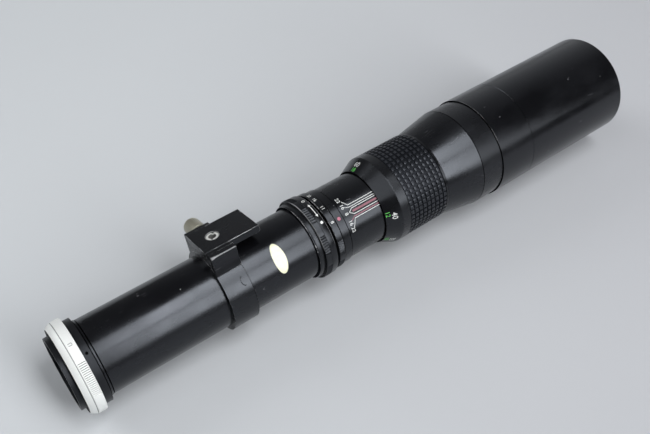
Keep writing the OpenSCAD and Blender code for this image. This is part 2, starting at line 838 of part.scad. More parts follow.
// Blade number i: a crescent with a lever, a pivot pin and a driving pin
module iris_blade(i) {
    x = blades_x + blade_pitch * i;
    pin = pin_at(0);
    color(dark) rotate([360 / blade_count * i, 0, 0]) {
        intersection() {
            tube(x, x + blade_t, blade_out_r, blade_in_r);
            along(x - over) linear_extrude(height = blade_t + 2 * over)
                polygon(concat([[0, 0]], [for (k = [0 : sector_steps]) blade_edge(k)]));
        }
        along(x) {
            translate([blade_out_r - pivot_gap, -pivot_pin_d / 2, 0])
                cube([2 * pivot_gap, pivot_pin_d, blade_t]);
            translate([pivot_r, 0, 0]) rotate([0, 0, -90 - blade_swing / 2])
                translate([0, -pin_reach, 0]) cube([lever_len, 2 * pin_reach, blade_t]);
            translate([pivot_r, 0, 0]) cylinder(h = blade_t, r = pivot_pin_d / 2);
            translate(pin) cylinder(h = blade_t, r = pin_reach);
        }
        along(x) translate([pivot_r, 0, 0])
            cylinder(h = pivot_plate_front - fit - x, r = pivot_pin_d / 2);
        along(cam_front - cam_slot_depth + face_gap) translate(pin)
            cylinder(h = x + blade_t - cam_front + cam_slot_depth - face_gap, r = drive_pin_d / 2);
    }
}

module cam_screw() {
    color(steel) grub_screw(cam_mid, cam_screw_angle, blade_out_r + fit,
        open_ring_r - open_ring_wall / 3, cam_screw_d - 2 * fit);
}

module open_close_ring() {
    color(black) difference() {
        revolved([
            [seat_r + fit, open_x],
            [open_ring_r - open_ring_wall / 4, open_x],
            [open_ring_r, open_x + open_ring_wall / 4],
            [open_ring_r, open_x + open_band],
            [open_ring_r - open_ring_wall / 8, open_x + open_band + open_ring_wall / 8],
            [open_ring_r - open_ring_wall / 8, open_front - open_ring_wall / 4],
            [open_ring_r - open_ring_wall / 3, open_front],
            [seat_r + fit, open_front]
        ]);
        stud(cam_mid, cam_screw_angle, seat_r - over, open_ring_r + over, cam_screw_d);
    }
}

module preset_ring() {
    ball_x = preset_x + preset_len / 2;
    track_r = preset_seat_r + ball_d / 2 + face_gap;
    color(black) difference() {
        revolved([
            [preset_seat_r + fit, preset_x],
            [preset_r - preset_wall / 8, preset_x],
            [preset_r, preset_x + preset_wall / 8],
            [preset_r, preset_front - preset_wall / 8],
            [preset_r - preset_wall / 8, preset_front],
            [preset_seat_r + fit, preset_front]
        ]);
        tube(ball_x - ball_d / 2 - face_gap, ball_x + ball_d / 2 + face_gap, track_r, preset_seat_r - over);
        for (stop = [0, stop_11_angle, stop_16_angle, stop_swing])
            stud(ball_x, ball_angle - stop, preset_seat_r, track_r + face_gap, ball_d);
    }
}

// Scale barrel to hood

module focus_ring() {
    edge_r = scale_r + skirt_gap;
    color(black) revolved([
        [edge_r, skirt_x],
        [edge_r + skirt_edge, skirt_x],
        [grip_r - skirt_edge / 4, crease_x],
        [grip_r, crease_x + skirt_edge],
        [grip_r, grip_x],
        [ring_r, grip_x],
        [ring_r, rim_x],
        [grip_r - rim_drop, rim_x],
        [grip_r - rim_drop, ring_front],
        [sleeve_r + fit, ring_front],
        [sleeve_r + fit, bearing_x],
        [ring_bore, bearing_x],
        [ring_bore, crease_x - skirt_wall],
        [edge_r, skirt_x + skirt_edge]
    ]);
}

module helicoid_nut() {
    color(brass) tube(nut_x, nut_x + nut_len, nut_r, land_r + fit);
}

module focus_grip() {
    rib = grip_len / (grip_grooves + 1);
    color(rubber) difference() {
        tube(grip_x + fit, rim_x - fit, grip_r, ring_r + fit);
        for (i = [1 : grip_grooves])
            tube(grip_x + rib * i - grip_groove_w / 2, grip_x + rib * i + grip_groove_w / 2,
                grip_r + over, grip_r - grip_groove_d);
    }
}

module front_barrel() {
    joint_front = cell_x + joint_len;
    color(black) difference() {
        revolved([
            [land_r + fit, keeper_x],
            [sleeve_step_r, keeper_x],
            [sleeve_step_r, bearing_x - face_gap],
            [sleeve_r, bearing_x - face_gap],
            [sleeve_r, cone_x],
            [cone_r, cone_x],
            [front_r, cone_front - seam_w / 2],
            [front_r - seam_w, cone_front],
            [front_r, cone_front + seam_w / 2],
            [front_r, cell_x],
            [front_joint_r, cell_x],
            [front_joint_r, joint_front],
            [front_joint_r - joint_wall, joint_front],
            [front_joint_r - joint_wall, cell_x],
            [front_r - front_wall, cone_front],
            [cone_r + cone_rise / 2 - front_wall, sleeve_front],
            [land_r + fit, sleeve_front]
        ]);
        for (side = [0, 180]) outward(0, side) {
            from = key_x - travel_out - key_d / 2 - face_gap;
            translate([from, -key_d / 2 - fit, land_r - key_reach])
                cube([sleeve_front + over - from, key_d + 2 * fit, 2 * key_reach + face_gap]);
        }
    }
}

module focus_keeper() {
    color(dark) tube(keeper_x, bearing_x - face_gap - fit, keeper_r, sleeve_step_r + fit);
}

module front_baffle() {
    r = front_r - front_wall - fit;
    color(dark) tube(cone_front, cone_front + baffle_t, r - face_gap, r - front_baffle_w);
}

module front_cell() {
    color(black) difference() {
        rod(cell_x, cell_front, cell_r);
        rod(cell_x - over, cell_x + joint_len + face_gap, front_joint_r + fit);
        bore(cell_x, cell_front, glass_r - glass_seat);
        rod(flint_x, cell_front + over, glass_r + fit);
        rod(hood_x - fit, cell_front + over, hood_joint_r + fit);
    }
}

module front_flint() {
    color(glass) revolved(lens_profile(flint_x, flint_x + flint_t, glass_r, 0, -glass_bulge));
}

module front_foil() {
    drop = glass_bulge * (1 - pow(1 - 1 / lens_steps, 2)) * lens_steps * foil_w / glass_r;
    color(dark) revolved([
        [glass_r, foil_x],
        [glass_r, foil_x + foil_t - fit],
        [glass_r - foil_w, foil_x + foil_t - fit - drop],
        [glass_r - foil_w, foil_x - drop]
    ]);
}

module front_crown() {
    color(glass) revolved(lens_profile(crown_x, crown_x + crown_t, glass_r, glass_bulge, glass_bulge));
}

module front_holder() {
    color(dark) revolved([
        [glass_r, glass_front + fit],
        [glass_r, glass_front + holder_t],
        [glass_r - holder_w * edge_share, glass_front + holder_t],
        [glass_r - holder_w, glass_front + holder_t * edge_share],
        [glass_r - holder_w, glass_front + glass_bulge * edge_share]
    ]);
}

module hood() {
    color(black) revolved([
        [hood_joint_r - hood_joint_wall, hood_x],
        [hood_joint_r, hood_x],
        [hood_joint_r, cell_front + fit],
        [cell_r - seam_w, cell_front + fit],
        [cell_r, cell_front + fit + seam_w],
        [cell_r, hood_front - rim_round],
        [cell_r - rim_round / 4, hood_front - rim_round / 4],
        [cell_r - rim_round, hood_front],
        [cell_r - hood_wall, hood_front],
        [cell_r - hood_wall, cell_front + hood_joint_wall],
        [hood_joint_r - hood_joint_wall, cell_front + fit]
    ]);
}

// Tripod collar

module tripod_collar() {
    block_side = block_w / 2;
    color(black) difference() {
        union() {
            rod(collar_x, collar_front, collar_r);
            outward(block_x, foot_angle) translate([0, -block_side, 0]) cube([block_len, block_w, foot_h]);
        }
        bore(collar_x, collar_front, tube_r + fit);
        outward(0, foot_angle) {
            translate([collar_x - over, plate_y - fit, foot_h - plate_t - fit])
                cube([collar_len + 2 * over, plate_w + 2 * fit, plate_t + over]);
            translate([collar_x - over, slit_y, 0]) cube([collar_len + 2 * over, slit_w, foot_h + over]);
            translate([clamp_x, block_side + over, clamp_h]) rotate([90, 0, 0])
                cylinder(h = block_w - ear_t / 3 + over, r = clamp_d / 2 + fit);
            for (side = [-1, 1])
                translate([foot_screw_x, plate_mid_y + side * foot_screw_gap / 2, tube_r / 2]) {
                    cylinder(h = foot_h, r = foot_screw_d / 2 + fit);
                    cylinder(h = foot_screw_z + foot_screw_head - tube_r / 2, r = foot_screw_head_d / 2 + fit);
                }
        }
        stud(collar_mid, foot_angle + 180, tube_r - over, collar_r + over, guide_d);
    }
}

module foot_plate() {
    color(black) outward(0, foot_angle) difference() {
        translate([block_x, plate_y, foot_h - plate_t]) cube([plate_len, plate_w, plate_t]);
        translate([bush_x, plate_mid_y, 0]) cylinder(h = foot_h + over, r = bush_d / 2 + fit);
        for (side = [-1, 1])
            translate([foot_screw_x, plate_mid_y + side * foot_screw_gap / 2, 0])
                cylinder(h = foot_h - plate_t / 4, r = foot_screw_d / 2 + fit);
    }
}

module foot_screws() {
    head_top = foot_screw_z + foot_screw_head;
    color(steel) outward(0, foot_angle) for (side = [-1, 1])
        translate([foot_screw_x, plate_mid_y + side * foot_screw_gap / 2, foot_screw_z]) difference() {
            union() {
                cylinder(h = foot_screw_head - fit, r = foot_screw_head_d / 2);
                cylinder(h = foot_h - plate_t / 4 - fit - foot_screw_z, r = foot_screw_d / 2);
            }
            translate([-foot_screw_d, -foot_screw_d * slot_width_share / 2, -over])
                cube([2 * foot_screw_d, foot_screw_d * slot_width_share, over + foot_screw_d * slot_depth_share]);
        }
}

module tripod_bush() {
    bush_len = plate_t - bush_sink;
    color(steel) outward(0, foot_angle) translate([bush_x, plate_mid_y, foot_h - plate_t]) difference() {
        cylinder(h = bush_len, r = bush_d / 2);
        translate([0, 0, -over]) cylinder(h = bush_len + 2 * over, r = bush_bore / 2);
        rotate([0, 0, -bush_turn]) translate([-bush_slot / 2, -bush_d, bush_len - bush_slot_depth])
            cube([bush_slot, 2 * bush_d, bush_slot]);
    }
}

module collar_guide_screw() {
    color(steel) grub_screw(collar_mid, foot_angle + 180, tube_r - guide_groove / 2,
        collar_r - guide_groove, guide_d - 2 * fit);
}

module clamp_thumbscrew() {
    block_side = block_w / 2;
    head_y = block_side + clamp_neck_len;
    color(silver) outward(0, foot_angle) translate([clamp_x, 0, clamp_h]) rotate([-90, 0, 0]) {
        translate([0, 0, ear_t / 2 - block_side])
            cylinder(h = block_w - ear_t / 2 + clamp_neck_len, r = clamp_d / 2);
        translate([0, 0, block_side + face_gap]) cylinder(h = clamp_neck_len, r = clamp_neck_d / 2);
        rotate_extrude() polygon([
            [0, head_y],
            [clamp_head_d / 2 - clamp_bevel, head_y],
            [clamp_head_d / 2, head_y + clamp_bevel],
            [clamp_head_d / 2, head_y + clamp_head_len - clamp_round],
            [clamp_head_d / 2 - clamp_round / 4, head_y + clamp_head_len - clamp_round / 4],
            [clamp_head_d / 2 - clamp_round, head_y + clamp_head_len],
            [0, head_y + clamp_head_len]
        ]);
    }
}

adapter_ring();
bayonet_plate();
thread_ring();
adapter_set_screws();
breech_ring();
rear_tube();
rear_baffle();
rear_cell();
rear_element_a();
rear_element_b();
rear_holder();
inspection_sticker();
lip_ring();
main_barrel();
click_ball();
click_spring();
index_ring();
index_dot();
scale_barrel();
guide_screws();
iris_pivot_plate();
tripod_collar();
foot_plate();
foot_screws();
tripod_bush();
collar_guide_screw();
clamp_thumbscrew();
open_close_ring();
iris_cam_ring();
cam_screw();
preset_ring();
iris_blade(0);  // iris_blade_1
iris_blade(1);  // iris_blade_2
iris_blade(2);  // iris_blade_3
iris_blade(3);  // iris_blade_4
iris_blade(4);  // iris_blade_5
iris_blade(5);  // iris_blade_6
iris_blade(6);  // iris_blade_7
iris_blade(7);  // iris_blade_8
front_barrel();
focus_keeper();
front_baffle();
front_cell();
front_flint();
front_foil();
front_crown();
front_holder();
hood();
focus_ring();
helicoid_nut();
focus_grip();
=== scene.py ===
# A long telephoto lens: its turned rings, knurls, rubber grip, printed scales and finishes,
# dressed over the solids of its CAD frame.
# The X axis is the optical axis. Angles round it are counted from +Y towards +Z, in degrees.
# The lens is written in millimetres, which MM makes metres, and the studio is written in metres.
import math

import bpy
from mathutils import Matrix, Vector


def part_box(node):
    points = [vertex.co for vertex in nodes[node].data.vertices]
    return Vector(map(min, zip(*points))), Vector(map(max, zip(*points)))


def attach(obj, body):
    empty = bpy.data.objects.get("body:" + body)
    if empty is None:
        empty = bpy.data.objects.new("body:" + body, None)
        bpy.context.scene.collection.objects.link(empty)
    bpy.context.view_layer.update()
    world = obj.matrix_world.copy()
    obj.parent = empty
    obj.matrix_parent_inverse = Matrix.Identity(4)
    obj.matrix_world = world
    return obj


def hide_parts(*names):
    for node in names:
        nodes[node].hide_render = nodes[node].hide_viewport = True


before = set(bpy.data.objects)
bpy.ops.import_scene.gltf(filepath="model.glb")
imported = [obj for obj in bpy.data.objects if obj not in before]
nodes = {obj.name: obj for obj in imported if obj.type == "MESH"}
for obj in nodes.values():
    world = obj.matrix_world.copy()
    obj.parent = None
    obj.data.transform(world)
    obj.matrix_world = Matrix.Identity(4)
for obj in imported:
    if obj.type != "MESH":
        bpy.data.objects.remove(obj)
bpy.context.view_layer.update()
bpy.ops.object.select_all(action="DESELECT")

MM = 0.001


def ends(node):
    """Where a CAD node starts and ends along the axis, in metres"""
    low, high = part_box(node)
    return low.x, high.x


def ring_size(node):
    """Start, end and outer radius of a round CAD node, in millimetres"""
    low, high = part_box(node)
    return low.x / MM, high.x / MM, high.y / MM


# Places on the axis where parts meet or an edge is worn, and one that no piece reaches
FAR_AWAY = -1.0
TUBE_SEAMS = (15.9 * MM, 17.8 * MM)
TUBE_SHOULDER = 18.2 * MM
BLOCK_FROM = ends("foot_plate")[0]
COLLAR_SEAM = 122.35 * MM
APERTURE_GAP = 188.6 * MM
FOCUS_TO = ends("focus_ring")[1]
CONE_SEAM = 317.0 * MM
CELL_FROM, CELL_TO = ends("front_cell")
HOOD_TO = ends("hood")[1]

# Breech ring, in millimetres. A shade is the pair of radii between which a hollow turns dark, and its
# reach is how far from the middle of the hollow it is looked for
BREECH_FROM, BREECH_TO, BREECH_R = ring_size("breech_ring")
BREECH_GROOVE = (3.9, 4.4)
BREECH_KNURL = (5.2, 10.0)
KNURL_SHADE, KNURL_REACH = (31.9, 31.65), 2.5
GROOVE_SHADE, GROOVE_REACH = (31.84, 31.7), 0.3

# Collar's block and foot, whose face looks along FOOT_ANGLE, and the tripod bush let into it
BLOCK_EDGE = Vector((0, -7.59, 41.54)) * MM
FOOT_ANGLE = math.radians(72.7)
BUSH_X, BUSH_ASIDE = 116.7 * MM, 2.85 * MM
BORE_SHADE, RIM_SHADE = (2.9, 2.6), (4.1, 4.4)

# Rubber grip, in millimetres
GRIP_FROM, GRIP_TO, PAD_TOP = ring_size("focus_grip")
SLEEVE_BORE_R, PAD_FLOOR = 32.75, 33.45
HOLLOW_SHADE, TOP_SHADE = (33.8, 33.5), (34.18, 34.27)

# Plain sticker round the tube
STICKER_FROM, STICKER_TO = ends("inspection_sticker")
STICKER_ANGLE = math.radians(132.0)
STICKER_R, STICKER_HALF_HEIGHT = 26.35 * MM, 10.8 * MM


# Shader node helpers


def put(tree, value, socket):
    if isinstance(value, bpy.types.NodeSocket):
        tree.links.new(value, socket)
    else:
        socket.default_value = value


def add_node(tree, kind, settings=None, **inputs):
    node = tree.nodes.new(kind)
    for name, value in (settings or {}).items():
        setattr(node, name, value)
    for name, value in inputs.items():
        put(tree, value, node.inputs[name.replace("_", " ")])
    return node


def calc(tree, operation, *values, clamp=False):
    node = add_node(tree, "ShaderNodeMath", {"operation": operation, "use_clamp": clamp})
    for value, socket in zip(values, node.inputs):
        put(tree, value, socket)
    return node.outputs[0]


def axes(tree, place):
    return add_node(tree, "ShaderNodeSeparateXYZ", Vector=place).outputs


def apart(tree, value, middle):
    return calc(tree, "ABSOLUTE", calc(tree, "SUBTRACT", value, middle))


def within(tree, value, middle, half):
    return calc(tree, "LESS_THAN", apart(tree, value, middle), half)


def diagonal(tree, first, second):
    """The root of the sum of two squares"""
    squares = [calc(tree, "MULTIPLY", side, side) for side in (first, second)]
    return calc(tree, "SQRT", calc(tree, "ADD", *squares))


def remap(tree, value, low, high, to_low=0.0, to_high=1.0):
    """A soft step: to_low where the value is at or past low, to_high where it is at or past high"""
    node = add_node(tree, "ShaderNodeMapRange", {"interpolation_type": "SMOOTHSTEP"})
    for socket, item in zip(node.inputs, (value, low, high, to_low, to_high)):
        put(tree, item, socket)
    return node.outputs[0]


def remap_mm(tree, value, limits):
    return remap(tree, value, *[limit * MM for limit in limits])


def fading(tree, distance, reach, steepness):
    """1 close by, down to 0 at the reach"""
    left = calc(tree, "SUBTRACT", 1.0, calc(tree, "DIVIDE", distance, reach))
    return calc(tree, "MULTIPLY", left, steepness, clamp=True)


def blend_colour(tree, mask, under, over):
    node = add_node(tree, "ShaderNodeMix", {"data_type": "RGBA"})
    for socket, value in ((0, mask), (6, under), (7, over)):
        put(tree, value, node.inputs[socket])
    return node.outputs[2]


def noise(tree, place, scale, detail=2.0, roughness=0.5, dimensions="3D"):
    node = add_node(tree, "ShaderNodeTexNoise", {"noise_dimensions": dimensions},
                    Scale=scale, Detail=detail, Roughness=roughness)
    put(tree, place, node.inputs["W" if dimensions == "1D" else "Vector"])
    return node.outputs[0]


def uneven_wear(tree, place, broad_scale, chip_scale):
    """Broad worn areas with fine chips in them, and the chips alone"""
    chip_share = 0.3
    broad = noise(tree, place, broad_scale)
    chips = noise(tree, place, chip_scale, detail=4.0, roughness=0.65)
    return calc(tree, "ADD", calc(tree, "MULTIPLY", broad, 1 - chip_share),
                calc(tree, "MULTIPLY", chips, chip_share)), chips


def stretched(tree, place, *shares):
    node = add_node(tree, "ShaderNodeVectorMath", {"operation": "MULTIPLY"})
    put(tree, place, node.inputs[0])
    node.inputs[1].default_value = shares
    return node.outputs[0]


def relief(tree, height, strength, depth):
    """A bump normal, with its depth in millimetres"""
    return add_node(tree, "ShaderNodeBump", Height=height, Strength=strength, Distance=depth * MM).outputs[0]


# Effects that several finishes use, each a node group


def start_group(name, inputs, outputs):
    """A node group with float inputs, after one vector, and float outputs"""
    group = bpy.data.node_groups.new(name, "ShaderNodeTree")
    group.interface.new_socket("Place", in_out="INPUT", socket_type="NodeSocketVector")
    for item in inputs:
        group.interface.new_socket(item, in_out="INPUT", socket_type="NodeSocketFloat")
    for item in outputs:
        group.interface.new_socket(item, in_out="OUTPUT", socket_type="NodeSocketFloat")
    return group, group.nodes.new("NodeGroupInput").outputs, group.nodes.new("NodeGroupOutput").inputs


def build_edge_wear():
    """Chipped and rubbed finish along up to two turned edges, given by their places on the axis"""
    tree, given, result = start_group(
        "edge_wear", ["First Edge", "Second Edge", "Width", "Amount", "Middle", "Spread"], ["Mask"])
    window_steepness, edge_steepness, patch_softness = 4.0, 3.0, 0.05
    x, y, z = axes(tree, given["Place"])
    turn = apart(tree, calc(tree, "ARCTAN2", z, y), given["Middle"])
    window = fading(tree, turn, given["Spread"], window_steepness)
    close = calc(tree, "MAXIMUM", *[fading(tree, apart(tree, x, given[edge]), given["Width"], edge_steepness)
                                    for edge in ("First Edge", "Second Edge")])
    worn, _ = uneven_wear(tree, given["Place"], broad_scale=38.0, chip_scale=1100.0)
    level = calc(tree, "SUBTRACT", 1.0, given["Amount"])
    patches = remap(tree, worn, level, calc(tree, "ADD", level, patch_softness))
    put(tree, calc(tree, "MULTIPLY", calc(tree, "MULTIPLY", close, window), patches), result["Mask"])
    return tree


def build_gap_shade():
    """Painted shade: thin lines round the axis where turned parts meet, and all below a given radius"""
    tree, given, result = start_group(
        "gap_shade", ["First Joint", "Second Joint", "Half Width", "Radius"], ["Mask"])
    x, y, z = axes(tree, given["Place"])
    lines = calc(tree, "MAXIMUM", *[within(tree, x, given[shade_and_scuff], given["Half Width"])
                                    for shade_and_scuff in ("First Joint", "Second Joint")])
    sunk = calc(tree, "LESS_THAN", diagonal(tree, y, z), given["Radius"])
    put(tree, calc(tree, "MAXIMUM", lines, sunk), result["Mask"])
    return tree


def build_handling():
    """Marks of use: broad smears, pale specks of dust and hair-thin scratches"""
    tree, given, result = start_group(
        "handling", ["Specks", "Scratches"], ["Smear", "Speck Mask", "Scratch Mask"])
    place = given["Place"]
    smear = noise(tree, stretched(tree, place, 0.45, 1.0, 1.0), scale=42.0, detail=4.0, roughness=0.6)
    put(tree, remap(tree, smear, 0.3, 0.7), result["Smear"])
    speck_least, speck_more = 0.025, 0.05
    cell = add_node(tree, "ShaderNodeTexVoronoi", Vector=place, Scale=210.0)
    drawn = add_node(tree, "ShaderNodeSeparateColor", Color=cell.outputs["Color"]).outputs
    wanted = calc(tree, "GREATER_THAN", given["Specks"], drawn[0])
    size = calc(tree, "MULTIPLY_ADD", drawn[1], speck_more, speck_least)
    speck = calc(tree, "LESS_THAN", cell.outputs["Distance"], size)
    put(tree, calc(tree, "MULTIPLY", speck, wanted), result["Speck Mask"])
    lines = noise(tree, stretched(tree, place, 0.1, 1.3, 0.9), scale=90.0, roughness=0.4)
    thin = within(tree, lines, middle=0.5, half=0.0016)
    where = remap(tree, noise(tree, place, scale=110.0, detail=1.0), 0.62, 0.7)
    scratch = calc(tree, "MULTIPLY", calc(tree, "MULTIPLY", thin, where), given["Scratches"])
    put(tree, scratch, result["Scratch Mask"])
    return tree


def build_turning():
    """Relief of a turned and blasted surface: fine rings round the axis and a grain over them"""
    tree, given, result = start_group("turning", ["Rings", "Grain"], ["Height"])
    x = axes(tree, given["Place"])[0]
    rings = noise(tree, x, scale=5200.0, detail=3.0, roughness=0.6, dimensions="1D")
    grain = noise(tree, given["Place"], scale=5200.0, detail=3.0, roughness=0.6)
    height = calc(tree, "MULTIPLY_ADD", rings, given["Rings"], calc(tree, "MULTIPLY", grain, given["Grain"]))
    put(tree, height, result["Height"])
    return tree


EDGE_WEAR = build_edge_wear()
GAP_SHADE = build_gap_shade()
HANDLING = build_handling()
TURNING = build_turning()


def use_group(tree, group, place, **inputs):
    node = add_node(tree, "ShaderNodeGroup", {"node_tree": group}, Place=place, **inputs)
    return node.outputs


# Masks of single places on the lens


def rubbed_block(tree, place):
    """Where the upper near edge of the collar's block is rubbed bare, most at its rear corner"""
    narrow_from, broad_at, narrow, broad = 110.0 * MM, 103.0 * MM, 0.55 * MM, 1.35 * MM
    raggedness = 0.8 * MM
    faint_at, full_at, faint = 124.0 * MM, 108.0 * MM, 0.6
    x = axes(tree, place)[0]
    edge = add_node(tree, "ShaderNodeCombineXYZ", X=x, Y=BLOCK_EDGE.y, Z=BLOCK_EDGE.z).outputs[0]
    distance = add_node(tree, "ShaderNodeVectorMath", {"operation": "DISTANCE"})
    for socket, value in zip(distance.inputs, (place, edge)):
        put(tree, value, socket)
    width = remap(tree, x, narrow_from, broad_at, narrow, broad)
    ragged = calc(tree, "MULTIPLY", noise(tree, place, scale=900.0, detail=3.0), raggedness)
    reach = calc(tree, "ADD", calc(tree, "SUBTRACT", width, raggedness / 2), ragged)
    return calc(tree, "MULTIPLY", calc(tree, "LESS_THAN", distance.outputs[1], reach),
                remap(tree, x, faint_at, full_at, faint, 1.0))


def collar_scuff(tree, place):
    """A curved scuff on the side of the tripod collar, as the rear part of an oval's outline"""
    middle, half_length = 118.4 * MM, 2.1 * MM
    angle, radius, half_height = math.radians(133.0), 29.6, 3.3
    half_line, open_past = 0.09, 0.1
    x, y, z = axes(tree, place)
    along = calc(tree, "DIVIDE", calc(tree, "SUBTRACT", x, middle), half_length)
    turn = calc(tree, "SUBTRACT", calc(tree, "ARCTAN2", z, y), angle)
    across = calc(tree, "MULTIPLY", turn, radius / half_height)
    line = within(tree, diagonal(tree, along, across), 1.0, half_line)
    rear = calc(tree, "LESS_THAN", along, open_past)
    ragged = remap(tree, noise(tree, place, scale=900.0, detail=3.0), 0.35, 0.5)
    return calc(tree, "MULTIPLY", calc(tree, "MULTIPLY", line, rear), ragged)


def breech_grooves(tree, place):
    """The bottoms of the knurl and of the turned groove on the breech ring"""
    x, y, z = axes(tree, place)
    radius = diagonal(tree, y, z)
    sunk = []
    for span, shade, reach in ((BREECH_KNURL, KNURL_SHADE, KNURL_REACH),
                               (BREECH_GROOVE, GROOVE_SHADE, GROOVE_REACH)):
        band = within(tree, x, sum(span) / 2 * MM, reach * MM)
        sunk.append(calc(tree, "MULTIPLY", remap_mm(tree, radius, shade), band))
    return calc(tree, "MAXIMUM", *sunk)


def bush_bore(tree, place):
    """The threaded hole and the outer thread of the tripod bush, told by the distance from its axis"""
    x, y, z = axes(tree, place)
    aside = calc(tree, "SUBTRACT", calc(tree, "MULTIPLY", y, math.sin(FOOT_ANGLE)),
                 calc(tree, "MULTIPLY", z, math.cos(FOOT_ANGLE)))
    away = diagonal(tree, calc(tree, "SUBTRACT", x, BUSH_X), calc(tree, "SUBTRACT", aside, BUSH_ASIDE))
    return calc(tree, "MAXIMUM", remap_mm(tree, away, BORE_SHADE), remap_mm(tree, away, RIM_SHADE))


# Finishes


def tint(r, g, b):
    return (r, g, b, 1.0)


def toned(colour, share, lift=0.0):
    return tint(*[channel * share + lift for channel in colour[:3]])


BARE_METAL = tint(0.40, 0.40, 0.41)
RUBBED_METAL = tint(0.75, 0.75, 0.76)
COOL_SHEEN = tint(0.86, 0.91, 1.0)
DUST = tint(0.30, 0.31, 0.30)
# Black of the painted shade in gaps and recesses, also used for the collar's real scuff
SHADE_AND_SCUFF_BLACK = tint(0.002, 0.002, 0.002)
SATIN = tint(0.0024, 0.0024, 0.0030)
ENAMEL = tint(0.0022, 0.0022, 0.0026)
MATT = tint(0.0030, 0.0030, 0.0032)


def start_material(name):
    material = bpy.data.materials.new(name)
    material.use_nodes = True
    tree = material.node_tree
    shader = tree.nodes["Principled BSDF"]
    place = tree.nodes.new("ShaderNodeTexCoord").outputs["Object"]
    return material, tree, shader.inputs, place


def turned_relief(tree, inputs, place, rings, grain, strength):
    height = use_group(tree, TURNING, place, Rings=rings, Grain=grain)["Height"]
    put(tree, relief(tree, height, strength, 0.04), inputs["Normal"])


def black_finish(name, colour, roughness, edges=(FAR_AWAY, FAR_AWAY), width=0.35, wear=0.5,
                 middle=110.0, spread=400.0, joints=(FAR_AWAY, FAR_AWAY), joint_half=0.15,
                 shade_below_r=0.0, mark=None, rub=None, specks=0.03, scratches=0.6, rings=0.5, grain=0.5,
                 bump=0.12, sheen=0.45):
    """Black anodised or enamelled aluminium, rubbed bright at its turned edges, with painted shade in dead
    black lines where parts meet and below a radius.
    Any mark is drawn in that black. The edges and joints are places on the axis in metres, and widths and
    the shaded radius millimetres."""
    worn_metal, shade_dullness, smear_dullness = 0.4, 0.5, 0.11
    material, tree, inputs, place = start_material(name)
    use = use_group(tree, HANDLING, place, Specks=specks, Scratches=scratches)
    worn = use_group(tree, EDGE_WEAR, place, First_Edge=edges[0], Second_Edge=edges[1],
                     Width=width * MM, Amount=wear, Middle=math.radians(middle),
                     Spread=math.radians(spread))["Mask"]
    # Painted shade in dead black at the joints and below the shaded radius, with any mark added in the same
    # black
    shade_and_scuff = use_group(tree, GAP_SHADE, place, First_Joint=joints[0], Second_Joint=joints[1],
                      Half_Width=joint_half * MM, Radius=shade_below_r * MM)["Mask"]
    if mark:
        shade_and_scuff = calc(tree, "MAXIMUM", shade_and_scuff, mark(tree, place))
    if rub:
        worn = calc(tree, "MAXIMUM", worn, rub(tree, place))
    inputs["Specular IOR Level"].default_value = sheen
    inputs["Specular Tint"].default_value = COOL_SHEEN
    base = blend_colour(tree, use["Smear"], colour, toned(colour, 1.4, lift=0.0005))
    for mask, over in ((use["Scratch Mask"], tint(0.16, 0.16, 0.17)), (use["Speck Mask"], DUST),
                       (worn, BARE_METAL), (shade_and_scuff, SHADE_AND_SCUFF_BLACK)):
        base = blend_colour(tree, mask, base, over)
    put(tree, base, inputs["Base Color"])
    put(tree, calc(tree, "MAXIMUM", calc(tree, "MULTIPLY", worn, worn_metal), shade_and_scuff), inputs["Metallic"])
    satin = calc(tree, "MULTIPLY_ADD", use["Smear"], smear_dullness, roughness - smear_dullness / 2)
    put(tree, calc(tree, "MULTIPLY_ADD", shade_and_scuff, shade_dullness, satin), inputs["Roughness"])
    turned_relief(tree, inputs, place, rings, grain, bump)
    return material


def worn_edge_finish(name, colour, roughness):
    """The broken edges of the collar and foot, where the enamel has gone in places"""
    metal_share, metal_dullness = 0.3, 0.1
    material, tree, inputs, place = start_material(name)
    worn, chips = uneven_wear(tree, place, broad_scale=70.0, chip_scale=1400.0)
    mask = calc(tree, "MAXIMUM", remap(tree, worn, 0.46, 0.52), rubbed_block(tree, place))
    put(tree, blend_colour(tree, mask, colour, RUBBED_METAL), inputs["Base Color"])
    inputs["Specular Tint"].default_value = COOL_SHEEN
    put(tree, calc(tree, "MULTIPLY", mask, metal_share), inputs["Metallic"])
    put(tree, calc(tree, "MULTIPLY_ADD", mask, metal_dullness, roughness), inputs["Roughness"])
    put(tree, relief(tree, chips, 0.2, 0.03), inputs["Normal"])
    return material


def bright_metal(name, colour, roughness, darker=0.8, metallic=1.0, shade=None, shaded=0.12):
    """Plated or turned metal with the bloom and faint stains of handling, dark where shade says so"""
    smear_dullness = 0.1
    material, tree, inputs, place = start_material(name)
    use = use_group(tree, HANDLING, place, Specks=0.05, Scratches=1.0)
    base = blend_colour(tree, use["Smear"], toned(colour, darker), colour)
    base = blend_colour(tree, use["Scratch Mask"], base, tint(0.25, 0.25, 0.26))
    if shade:
        base = blend_colour(tree, shade(tree, place), base, toned(colour, shaded))
    put(tree, base, inputs["Base Color"])
    inputs["Metallic"].default_value = metallic
    put(tree, calc(tree, "MULTIPLY_ADD", use["Smear"], smear_dullness, roughness - smear_dullness / 2),
        inputs["Roughness"])
    turned_relief(tree, inputs, place, rings=0.6, grain=0.3, strength=0.1)
    return material


